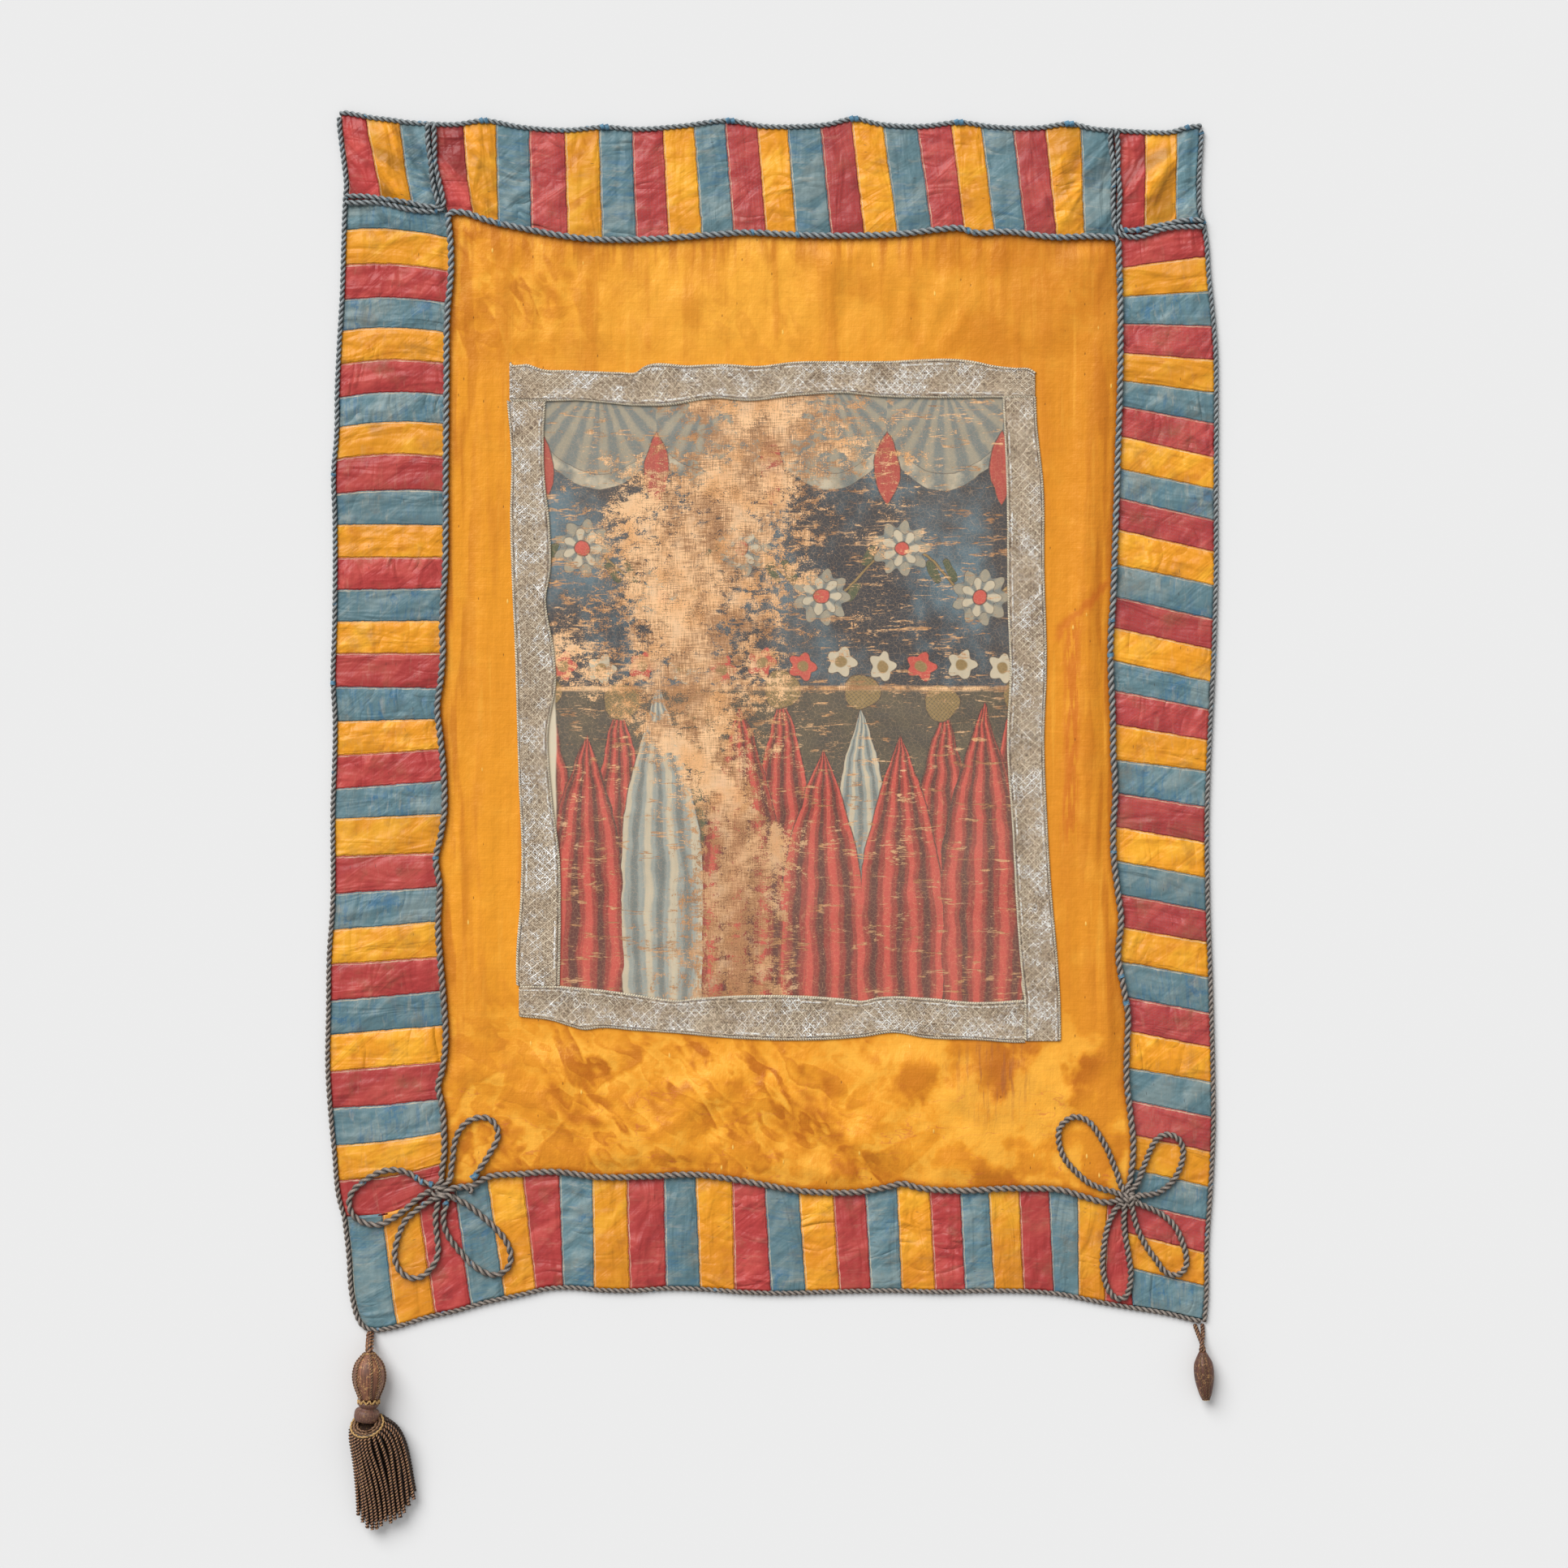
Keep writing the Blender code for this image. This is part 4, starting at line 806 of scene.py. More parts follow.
def seamPlaces(rim, seams, axis):
    # Distances along a rim where it passes the seams, with both its ends
    ordered = rim if rim[-1, axis] > rim[0, axis] else rim[::-1]
    distances = alongLine(rim)
    at = distances if ordered is rim else distances[::-1]
    return np.concatenate([[0], np.interp(seams, ordered[:, axis], at), [distances[-1]]])


def pieceBorder(node, rims, caps, axis, onCord, seed):
    # Strips between an outer and an inner rim: a straight line between the rims at each share of a strip,
    # bent near the run's two ends towards its end seams
    run, s = borders[node], stripSilk
    marks = [seamPlaces(rim, fromPhoto(run[side], axis), axis) for rim, side in zip(rims, ("outer", "inner"))]
    widths = np.diff((marks[0] + marks[1]) / 2)
    steps = np.maximum(6, np.round(widths / s["spacing"]).astype(int))
    strip = np.concatenate([[0], *(k + np.arange(1, n + 1) / n for k, n in enumerate(steps))])
    numbers = np.arange(len(marks[0]))
    outerRow, innerRow = (readAt(rim, np.interp(strip, numbers, mark)) for rim, mark in zip(rims, marks))
    depth = np.linalg.norm(outerRow - innerRow, axis=1).mean()
    rows = int(depth / s["spacing"])
    v = np.linspace(0, 1, rows)[:, None]
    plan = (1 - v)[..., None] * outerRow[None] + v[..., None] * innerRow[None]
    for cap, column, near in ((caps[0], 0, strip), (caps[1], -1, strip[-1] - strip)):
        weight = np.clip(1 - near / s["bentStrips"], 0, 1) ** 2
        plan = plan + weight[None, :, None] * (resample(cap, rows) - plan[:, column])[:, None]
    for height, start, over in run.get("bows", ()):
        plan[..., axis] += height * ease((strip - start) / over)[None] * (4 * v * (1 - v))
    x, y = plan[..., 0], plan[..., 1]
    share = strip % 1.0
    across = v * depth
    fromSeam = np.sin(math.pi * share)[None] ** 0.5 * np.ones_like(x)
    tug = 31.7 * np.floor(strip)[None]
    along = strip[None] * widths.mean()
    wrinkle = softNoise(along * 0.55 + tug, across * 0.5 + tug, 9, 40 + seed)
    wrinkle = wrinkle + 0.8 * softNoise(along * 0.25, across + tug, 13, 60 + seed)
    drawn = longNoise(x, y, 70, 16, -35 + 40 * (seed % 3), 80 + seed)
    toRims = rimDistances(plan)
    lift = np.ones_like(x)
    for distance, corded in zip(toRims, onCord):
        lift = lift * ease((distance - s["flatAtCords" if corded else "flatAtEdges"]) / s["riseBy"])
    gather = np.sin(along * 2 * math.pi / (9 + 2 * softNoise(along, 0 * along, 50, 90 + seed)))
    tall, reach = s["gathers"]
    gather = gather * sum(np.exp(-distance / reach) for distance in toRims[:2]) * (0.5 + softNoise(x, y, 40, 91 + seed))
    swell = s["pillow"] * fromSeam + s["wrinkles"] * fromSeam * wrinkle + s["longWrinkles"] * drawn
    swell = swell + tall * gather + ridgeHeight(x, y) * s["ridges"][node.split("_")[0]]
    rise = lift * np.maximum(swell, -0.6) * (0.2 + 0.8 * clearOfLoops(x, y))
    dip, half = s["seamDip"]
    seamDip = dip * np.exp(-((np.minimum(share, 1 - share) * widths.mean() / half) ** 2))[None]
    under = np.maximum(rise - 0.4, 0)
    over = flag["silk"] + rise - seamDip * ease(np.minimum.reduce(toRims) / 4)
    places = np.dstack([along * 0.001 * np.ones_like(x), across * 0.001 * np.ones_like(x)])
    values = {"strip": strip, "first": run["first"], "onward": run["onward"]}
    values = {key: np.broadcast_to(value, x.shape) for key, value in values.items()}
    return closedSheet(plan, under, over, places, values), depth * 0.001, along.max() * 0.001


def makeBorders():
    finish = piecedSilk()
    opposite = {"top": "bottom", "bottom": "top", "left": "right", "right": "left"}
    for seed, (node, run) in enumerate(borders.items()):
        sides = {side: line[name] for side, name in zip(opposite, run["sides"])}
        sides = insetLines(sides, {k: stripSilk["underEdgeCord" if k in run["edges"] else "inset"] for k in sides})
        axis = 0 if run["rim"] in ("top", "bottom") else 1
        order = (run["rim"], opposite[run["rim"]], *(("top", "bottom") if axis else ("left", "right")))
        rims, caps = [sides[k] for k in order[:2]], [sides[k] for k in order[2:]]
        # an end's line goes from the outer rim to the inner one
        caps = [cap if np.linalg.norm(cap[0] - rims[0][i]) < 1 else cap[::-1] for cap, i in zip(caps, (0, -1))]
        onCord = [k not in run["edges"] for k in order]
        part, depth, length = pieceBorder(node, rims, caps, axis, onCord, seed)
        name = node.replace("border", "silk_border").replace("corner", "silk")
        piece = putMesh(name, [part], finish, [node])


satinLook = {
    "amber": tone(240, 157, 42),
    "light": tone(255, 184, 68),
    "shade": tone(214, 130, 36),
    "deep": tone(188, 102, 24),
    "stain": tone(200, 98, 28),
    "rust": tone(204, 96, 66),
    "brown": tone(150, 84, 54),
    "slub": tone(255, 210, 110),
    "speck": tone(96, 50, 20),
    "glint": (1.0, 0.76, 0.38),
    "roughness": 0.40,
    "crumple": 0.0090,      # m, height of the shader's own folds
    # the marks' places in metres; a pair at a mark's end says where it is gone and where it is full
    "crumpledCorner": (-0.33, 0.57),     # x, y
    # x of the middle of a painted highlight across the top of the field
    "paintedHighlight": -0.04,         # x
    "drip": 0.317,          # x
    "dripFoot": (-0.045, -0.01),
    "dripHead": (0.235, 0.19),
    "sweep": (0.325, 0.226, 0.95),     # a point of the slanted stain and its slope
    "sweepLeft": (0.296, 0.306),
    "sweepRight": (0.362, 0.352),
    "spot": (0.236, -0.270),     # x, y
    "tears": (-0.24, -0.30),
}


def amberSatin():
    look, graph = satinLook, Graph("amber_satin")
    place, fromCord = graph.place(), graph.value("fromCord")
    x, y, _ = graph.parts(place)
    warp, weft = graph.drawn(place, 900.0, 26.0, z=40.0), graph.drawn(place, 22.0, 700.0, z=40.0)
    cloud, patch = graph.noise(place, 5.0, 3.0), graph.noise(place, 26.0, 3.0, 0.55)
    # the foot of the field is crumpled, its top less so and its sides nearly smooth
    edge = 0.09 * (graph.noise(place, 8.0) - 0.5)
    low, high = graph.step(y + edge, -0.16, -0.26), graph.step(y + edge, 0.44, 0.54)
    notLow = 1.0 - low
    cornerX, cornerY = look["crumpledCorner"]
    corner = graph.step(graph.away(x - cornerX, y - cornerY), 0.17, 0.04)
    amount = graph.most(low, high * (0.26 + 0.5 * corner))
    bent = graph.vectors("MULTIPLY_ADD", graph.noise(place, 7.0, output=1), (0.030, 0.030, 0.0), place)

    def tooth(value, count):     # rises slowly and falls back fast, as a fold's lit side and its dark one
        part = (value * count) % 1.0
        return graph.sum("MINIMUM", part * 1.22, (1.0 - part) * 5.5)

    steep = tooth(graph.slant(bent, -62.0, 9.0, 23.0, 0.0, 2.5, 0.45), 4.5)
    level = tooth(graph.slant(bent, 46.0, 9.0, 21.0, 3.0, 2.5, 0.45), 4.5)
    lesser = tooth(graph.slant(bent, -30.0, 24.0, 44.0, 6.0), 4.0)
    region = graph.noise(place, 13.0)
    which = graph.step(region, 0.45, 0.55)
    folded = 0.66 * (which * steep + (1.0 - which) * level) + 0.34 * lesser
    # to the right of the foot the folds, and the painted shade and highlight that follow them, lie in broad clouds
    right = graph.step(x + 0.5 * (cloud - 0.5), 0.02, 0.15) * 0.85
    folded = folded * (1.0 - right) + right * graph.step(graph.noise(bent, 15.0, 4.0, 0.55), 0.44, 0.62)
    small = graph.drawn(bent, 52.0, 40.0, 4.0)
    upright = graph.drawn(place, 36.0, 2.6, 2.0, 0.5)
    narrow = graph.drawn(place, 90.0, 5.0)
    slanted = graph.noise(graph.point((x + y) * 26.0, (x - y) * 7.0), 1.0)
    relief = (folded * (0.055 - 0.05 * right) + small * 0.24) * amount
    relief = relief + (upright * 0.34 + slanted * 0.26 + small * 0.20) * (1.0 - amount)

    aside = graph.step(x, -0.02, 0.34) * notLow
    # a painted highlight: the top of the field lighter about its middle
    paintedHighlight = graph.step(abs(x - look["paintedHighlight"] + 0.4 * (cloud - 0.5)), 0.24, 0.03) * high
    # painted shade and highlight: the colour is deeper or lighter along the folds' slopes, as light and shade fall on
    # their turned faces
    strength = 0.35 + 0.65 * graph.step(region, 0.36, 0.60)
    turned = folded + 0.9 * (small - 0.5) + 0.25 * (weft + warp - 1.0)
    # painted shade: darker streaks along the upright folds of the sides and the top
    uprightFoldShade = graph.step(upright + 0.35 * (slanted - 0.5) + 0.5 * (narrow - 0.5), 0.50, 0.68)
    # silk gathered under a cord keeps short folds, darkened with painted shade, and a narrow painted shadow lies along
    # the cord
    gathers = graph.step(graph.drawn(place, 80.0, 8.0, 2.0, 0.5), 0.45, 0.60)
    colour = graph.coats(
        look, look["amber"],
        (graph.step(cloud, 0.34, 0.70) * 0.36, "shade"),
        (aside * (0.40 + 0.30 * high), "shade"),
        (paintedHighlight * 0.55, "light"),
        (graph.step(patch, 0.50, 0.80) * 0.30, "light"),
        (graph.step(turned, 0.30, 0.88) * strength * amount * 0.90, "deep"),
        (graph.step(turned, 0.48, -0.02) * amount * 0.80, "light"),
        (uprightFoldShade * notLow * 0.55, "shade"),
        (graph.step(narrow, 0.56, 0.72) * notLow * 0.34, "light"),
        (graph.step(fromCord, 0.052, 0.006) * gathers * (0.62 - 0.45 * low), "deep"),
        (graph.step(fromCord, 0.0085, 0.0035) * 0.55, "deep"),
    )
    colour = graph.shade(colour, 0.80 + 0.20 * warp + 0.20 * weft)
    # the water stain down the right of the field: a slanted sweep above a long ragged drip
    ragged = (graph.drawn(place, 160.0, 14.0) - 0.5) * 0.022
    wobble = (graph.drawn(place, 30.0, 30.0) - 0.5) * 0.03
    drip = graph.step(abs(x - look["drip"] + ragged + (y - 0.08) * -0.02), 0.013, 0.002)
    drip = drip * graph.step(y + wobble * 2.0, *look["dripFoot"]) * graph.step(y + wobble, *look["dripHead"])
    teeth = graph.drawn(place, 260.0, 30.0, 2.0)
    sweepX, sweepY, slope = look["sweep"]
    sweep = graph.step(abs(y - sweepY - (x - sweepX) * slope + wobble + 0.012 * teeth), 0.011, 0.001)
    sweep = sweep * graph.step(x, *look["sweepLeft"]) * graph.step(x, *look["sweepRight"])
    rim = graph.most(drip * graph.step(teeth, 0.38, 0.52), sweep)
    # a brown spot and a tear at the foot
    spotX, spotY = look["spot"]
    fromSpot = graph.away((x - spotX) * 19.0, (y - spotY) * 16.0)
    drops = graph.step(graph.drawn(place, 230.0, 20.0), 0.50, 0.62)
    spot = graph.step(fromSpot + 1.4 * (patch - 0.5), 1.1, 0.2) * (0.25 + 0.75 * drops)
    tear = graph.step(abs(graph.drawn(place, 14.0, 45.0, 3.0, 0.5) - 0.5), 0.010, 0.0)
    # slubs: short bright knots of thread along the warp, with dark specks
    slub = graph.flecks(place, 75.0, 30.0, 0.10, 0.03, 0.80)
    marks = graph.flecks(place, 190.0, 70.0, 0.16, 0.05, 0.93)
    colour = graph.coats(
        look, colour,
        (rim * 0.62, "stain"),
        (spot * 0.55, "brown"),
        (tear * graph.step(y, *look["tears"]) * graph.step(patch, 0.45, 0.6) * 0.45, "rust"),
        (slub * 0.8, "slub"),
        (marks * 0.65, "speck"),
    )
    fine = graph.bump(warp * 0.5 + weft * 0.7 + slub * 2.0 - marks, 0.0005, 0.4)
    return graph.put(
        Base_Color=colour, Roughness=look["roughness"] + 0.16 * (cloud - 0.5) + 0.10 * (weft - 0.5) + 0.1 * rim,
        Normal=graph.bump(relief, look["crumple"], 1.0, fine), Specular_IOR_Level=0.5, Specular_Tint=look["glint"])


stripLook = {
    "red": (tone(180, 60, 58), tone(202, 82, 74), tone(134, 38, 42)),     # mean, lighter and darker tone; the lighter also serves as painted sheen, the darker as painted shade
    "yellow": (tone(236, 154, 26), tone(252, 180, 44), tone(198, 112, 22)),
    "blue": (tone(96, 128, 136), tone(132, 150, 150), tone(74, 102, 112)),
    "footYellow": tone(198, 112, 22),
    "deepBlue": tone(48, 106, 144),
    "dust": tone(136, 108, 72),
    "speck": tone(58, 44, 40),
    "pale": tone(236, 214, 180),
    "seam": tone(58, 34, 30),
    "roughness": 0.42,
    "ragged": 0.035,      # how unevenly the seams run, in strips
    "crumple": 0.0056,
}


def piecedSilk():
    look, graph = stripLook, Graph("pieced_silk")
    place, cloth = graph.place(), graph.cloth()
    x, y, _ = graph.parts(place)
    ragged = (graph.noise(place, 75.0) - 0.5) * 1.6 + graph.noise(place, 300.0, 2.0, 0.6) - 0.5
    placed = graph.value("strip") + ragged * look["ragged"]
    number = graph.sum("FLOOR", placed)
    share, first = placed - number, graph.value("first")
    turn = (first + graph.value("onward") * number) % 3.0
    isYellow, isBlue = graph.step(turn, 0.4, 0.6), graph.step(turn, 1.4, 1.6)
    own = graph.own(number + first * 7.3)
    tug = graph.point(number * 3.7, number * 1.9)
    shifted = graph.vectors("ADD", place, tug)
    cloud, patch = graph.noise(shifted, 22.0, 4.0, 0.6), graph.noise(shifted, 60.0, 4.0, 0.6)
    region, soil = graph.noise(shifted, 15.0, 3.0, 0.6), graph.noise(shifted, 24.0, 6.0, 0.72)
    grain, ribs = graph.drawn(cloth, 1100.0, 60.0), graph.drawn(cloth, 55.0, 1100.0, roughness=0.65)
    sheen = graph.slant(shifted, 38.0, 10.0, 42.0, 0.0, 3.0, 0.55, 0.6)
    # the two upper corners are drawn outwards in long slanting folds, which also get painted highlight and shade
    corner = graph.step(abs(x), 0.24, 0.34) * graph.step(y, 0.60, 0.65)
    drawn = graph.slant(graph.point(abs(x), y), 52.0, 11.0, 38.0, number * 2.3, 2.0, 0.5, 0.8)

    # each silk lighter in clouds and darker in patches, and the slanted sheen adds painted sheen to the lighter tone
    # and painted shade to the darker one
    def silk(mean, light, dark):
        worn = graph.mix(graph.step(cloud + sheen, 0.94, 1.20) * 0.8, mean, light)
        return graph.mix(graph.step(patch - sheen, 0.04, 0.34) * 0.5, worn, dark)

    colour = graph.mix(isYellow, silk(*look["red"]), silk(*look["yellow"]))
    clean = graph.step(y, 0.54, 0.62)     # the top border is the least soiled
    # the yellow strips are darker towards the foot
    foot = graph.step(y, -0.40, -0.48) * (1.0 - isBlue)
    flecks, wisps = graph.drawn(cloth, 38.0, 190.0, 5.0, 0.7), graph.drawn(cloth, 30.0, 120.0, 4.0, 0.7)
    blots = graph.step(graph.noise(shifted, 36.0, 6.0, 0.75, 0.5), 0.55, 0.61) * graph.step(region, 0.46, 0.60)
    colour = graph.coats(
        look, graph.mix(isBlue, colour, silk(*look["blue"])),
        (graph.step(flecks, 0.48, 0.62) * graph.step(region, 0.38, 0.58) * isBlue * 0.45, "deepBlue"),
        (blots * isBlue * (0.60 - 0.40 * clean), "deepBlue"),
        (graph.step(soil, 0.48, 0.76) * (0.42 - 0.24 * clean), "dust"),
        (graph.step(wisps, 0.54, 0.70) * (0.08 + 0.08 * isBlue), "pale"),
        (foot * isYellow * 0.34, "footYellow"),
    )
    # painted highlight and shade along the corner folds, over each strip's own tone and its weave
    folded = 0.20 * graph.step(drawn, 0.52, 0.66) - 0.32 * graph.step(drawn, 0.50, 0.38)
    colour = graph.shade(colour, 0.78 + 0.16 * own + 0.06 * grain + 0.20 * ribs + folded * corner)
    # the seam: a valley darkened with painted shade, with a thread's light and dark along it, and the turned edge's
    # pale line beside
    seam = graph.step(0.5 - abs(share - 0.5), 0.040, 0.010)
    stitch = graph.step(graph.wave(graph.parts(cloth)[1] * 2300.0), -0.3, 0.6)
    broken = graph.step(patch, 0.34, 0.56)
    turned = graph.step(abs(share - 0.040), 0.024, 0.008)
    colour = graph.coats(
        look, colour,
        (graph.flecks(cloth, 85.0, 340.0, 0.22, 0.08, 0.93) * 0.5, "speck"),
        (seam * (0.04 + 0.12 * stitch + 0.16 * broken), "seam"),
        (turned * (0.60 - 0.34 * broken), "pale"),
    )
    fine = graph.bump(grain * 0.3 + ribs * 0.7, 0.0006, 0.4)
    # creases across a strip or along it, more of one or the other on each strip
    leant = graph.vectors("ADD", cloth, tug)
    across = abs(graph.drawn(leant, 16.0, 34.0, 1.0, 0.5, 1.2) - 0.5) * 1.3
    lengthwise = graph.drawn(leant, 58.0, 14.0, 2.0, 0.45, 0.8)
    where = graph.step(graph.noise(shifted, 16.0), 0.36, 0.62)
    crumple = (0.2 + 0.8 * where) * (0.4 + own) * across + (1.3 - own) * lengthwise
    crumple = crumple + 0.16 * graph.noise(shifted, 110.0) + 0.5 * sheen
    crumple = crumple * (0.7 + 0.6 * own) + 1.1 * drawn * corner - 0.14 * seam
    return graph.put(
        Base_Color=colour, Roughness=look["roughness"] + 0.2 * (cloud - 0.5) + 0.12 * (ribs - 0.5) + 0.06 * isBlue,
        Normal=graph.bump(crumple, look["crumple"], 1.0, fine), Specular_IOR_Level=0.4)


# painted canvas: a garden of tall leaves under garlands of flowers, worn to the cloth down its middle

canvasCloth = {
    "size": (510, 650),
    "spacing": 4.2,
    "underGalloon": 6.0,
    "bulge": (210, 280),       # half sizes at which it reaches that far under the galloon
    "height": 2.3,
    "thickness": 1.2,
    "flatAtEdges": (10, 30),
    "creases": 0.55,
    "ripples": 0.8,
    "cutSize": (0.515, 0.655),     # m
}

paint = {
    "slate": tone(94, 124, 136),
    "night": tone(46, 50, 58),
    "red": tone(208, 80, 68),
    "deepRed": tone(156, 54, 46),
    "darkRed": tone(96, 42, 38),
    "cream": tone(206, 192, 164),
    "grey": tone(160, 152, 132),
    "paleBlue": tone(158, 164, 156),
    "blueShade": tone(118, 126, 122),
    "green": tone(78, 88, 60),
    "ochre": tone(150, 122, 72),
    "olive": tone(104, 92, 64),
    "outline": tone(58, 44, 40),
    "bare": tone(255, 206, 154),
    "bareDark": tone(178, 130, 90),
    "bareOrange": tone(232, 168, 106),
    "haze": tone(196, 178, 156),
    "edge": tone(222, 208, 180),
    # the design's places, in metres
    "start": -0.243,           # x at which its repeats begin
    "leafPitch": 0.0845,
    "leafFoot": -0.19,
    "leafRows": ((-0.2852, 0.118, 0.030, 0.040), (-0.243, 0.072, 0.075, 0.0475)),     # start, tip, its spread, width
    "groundLine": 0.140,
    "headHeight": 0.118,
    "bellHeight": 0.156,
    "garlandHeight": 0.262,
    "headRadius": 0.020,
    "bellRadius": 0.0165,
    "sprigPitch": 0.0211,
    "rosettes": ((0.031, 9, "grey"), (0.021, 7, "cream")),     # radius, petals, tone
    "rosetteHeart": 0.0078,
    "scallopPitch": 0.122,
    "scallop": (0.350, 0.036),     # y of its foot, and how much higher its ends are
    "scallopHem": 0.016,
    "tongue": (0.372, 0.0135, 0.040),     # y, half width and half length of the red drops
    "roughness": 0.55,
    # its wear: the bare patch's x at the foot, and its steps aside on the way up, each between two y
    "bareMiddle": -0.035,
    "bareSteps": ((-0.050, -0.02, 0.14), (0.075, 0.26, 0.42)),
    "bareHalfWidth": 0.050,
    "bareWidens": (0.075, 0.03, 0.22),
    "foldLine": 0.1395,        # y
    "primedEdge": (-0.2275, -0.2300),     # gone at the first and full at the second, as in the next one
    "primedBelow": (0.20, 0.17),
}


def makeCanvas():
    s = canvasCloth
    sides = {side: framed(side, openingCorners, canvasOpening) for side in sideEnds}
    plan = patchBetween(sides, *(int(length / s["spacing"]) for length in s["size"]))
    middle = plan.mean((0, 1))
    plan = plan + s["underGalloon"] * np.sign(plan - middle) * np.clip(np.abs(plan - middle) / s["bulge"], 0, 1) ** 6
    x, y = plan[..., 0], plan[..., 1]
    flat, over = s["flatAtEdges"]
    lift = ease((np.minimum.reduce(rimDistances(plan)) - flat) / over)
    creases = np.maximum(1 - np.abs(longNoise(x, y, 150, 16, 3, 21)) * 3.2, 0) ** 2
    ripple = longNoise(x, y, 130, 40, 5, 22) + 0.6 * longNoise(x, y, 60, 60, 0, 23)
    rise = lift * (s["creases"] * creases + s["ripples"] * (ripple + 0.6))
    under = s["height"] + np.maximum(rise, 0)
    part = closedSheet(plan, under, under + s["thickness"], plan * 0.001)
    piece = putMesh("painted_canvas", [part], paintedCanvas(), ["canvas"])


def paintedCanvas():
    look, graph = paint, Graph("painted_canvas")
    place = graph.place()
    waver = graph.noise(place, 24.0, 3.0, output=1)
    wavered = graph.vectors("MULTIPLY_ADD", waver, (0.011, 0.010, 0.0), place)
    centred = graph.vectors("SUBTRACT", wavered, (0.0055, 0.005, 0.0))
    x, y, _ = graph.parts(centred)
    strokes = graph.drawn(centred, 210.0, 11.0, 4.0)
    brush = graph.noise(place, 42.0, 4.0, 0.6)
    start, leafPitch, sprigPitch = look["start"], look["leafPitch"], look["sprigPitch"]

    def lay(under, outside, colour, line=0.0010, lined=0.75):
        # paint where a shape's distance is below 0, with a dark line round it
        return graph.mix(graph.step(abs(outside), line, line * 0.3) * lined,
                         graph.mix(graph.step(outside, 0.0005, -0.0005), under, colour), look["outline"])

    def leaf(fromX, fromY, halfWidth, halfLength):     # |x| less a width that falls off as the square of y
        return abs(fromX) - halfWidth * (1.0 - (fromY / halfLength) ** 2.0)

    def flower(fromX, fromY, radius, petals, depth=0.16):     # distance less radius (1 - depth + depth cos(n angle))
        lobes = graph.sum("COSINE", graph.sum("ARCTAN2", fromY, fromX) * float(petals))
        reach = graph.away(fromX, fromY)
        return reach - radius * (1.0 - depth + depth * lobes), reach, lobes

    def repeated(pitch, start):     # x within its repeat, from the repeat's middle, and the repeat's number
        count = (x - start) / pitch
        number = graph.sum("FLOOR", count)
        return (count - number - 0.5) * pitch, number

    def fade(masks, dark, middle, light):     # a dark tone, a middle one and a light one by two masks
        return graph.mix(masks[1], graph.mix(masks[0], look[dark], look[middle]), look[light])

    def isKind(kind, wanted):
        return graph.step(abs(kind - wanted), 0.6, 0.4)

    # the ground: slate above, olive below
    sky = graph.drawn(place, 11.0, 6.0, 4.0, 0.5) + 0.3 * (brush - 0.5)
    colour = graph.mix(graph.step(sky, 0.42, 0.72), look["night"], look["slate"])
    ground = graph.step(y, look["groundLine"] + 0.002, look["groundLine"] - 0.002)
    colour = graph.mix(ground, colour, graph.mix(brush, look["night"], look["olive"]))
    # two rows of tall leaves with drawn folds, the back row between the tips of the front one
    for row, (rowStart, top, spread, width) in enumerate(look["leafRows"]):
        leafX, number = repeated(leafPitch, rowStart)
        tip = top + spread * graph.own(number + (3.7 + row))
        half = (tip - look["leafFoot"] + 0.16) / 2.0
        share = (y - (tip - half)) / half
        wide = width * (1.0 - share ** 2.0)
        lean = leafX + 0.012 * (graph.own(number + 8.1) - 0.5) * share
        across = lean / graph.most(wide, 0.004)
        bands = graph.wave(across * 10.5 + 6.0 * graph.own(number + 5.9) + 2.2 * (strokes - 0.5)) + 0.5 * (brush - 0.5)
        pleats = graph.step(bands, -1.0, -0.25), graph.step(bands, 0.25, 0.9)
        kind = (number + 3.0 * row) % 5.0
        body = graph.mix(isKind(kind, 4.0), fade(pleats, "darkRed", "deepRed", "red"),
                         fade(pleats, "blueShade", "paleBlue", "cream"))
        if not row:
            body = graph.mix(isKind(kind, 2.0), body, fade(pleats, "night", "green", "olive"))
        colour = lay(colour, abs(lean) - wide, body)
    # ochre seed heads with a drawn net, and bell flowers above them
    betweenX, between = repeated(leafPitch, start + leafPitch / 2)
    net = graph.step(abs(graph.wave((betweenX + y) * 700.0) * graph.wave((betweenX - y) * 700.0)), 0.05, 0.3)
    headY = look["headHeight"] + 0.020 * graph.own(between + 1.3)
    outside, _, _ = flower(betweenX, y - headY, look["headRadius"], 3, 0.05)
    colour = lay(colour, outside, graph.mix(net, look["olive"], look["ochre"]))
    bellX, bell = repeated(leafPitch * 0.5, start)
    bellY = y - look["bellHeight"] - 0.012 * graph.own(bell + 6.6)
    outside, reach, _ = flower(bellX, bellY, look["bellRadius"], 5)
    petals = graph.mix(graph.step(graph.own(bell + 2.2), 0.45, 0.55), look["red"], look["cream"])
    colour = lay(colour, outside, graph.mix(graph.step(reach, 0.007, 0.005), petals, look["ochre"]))
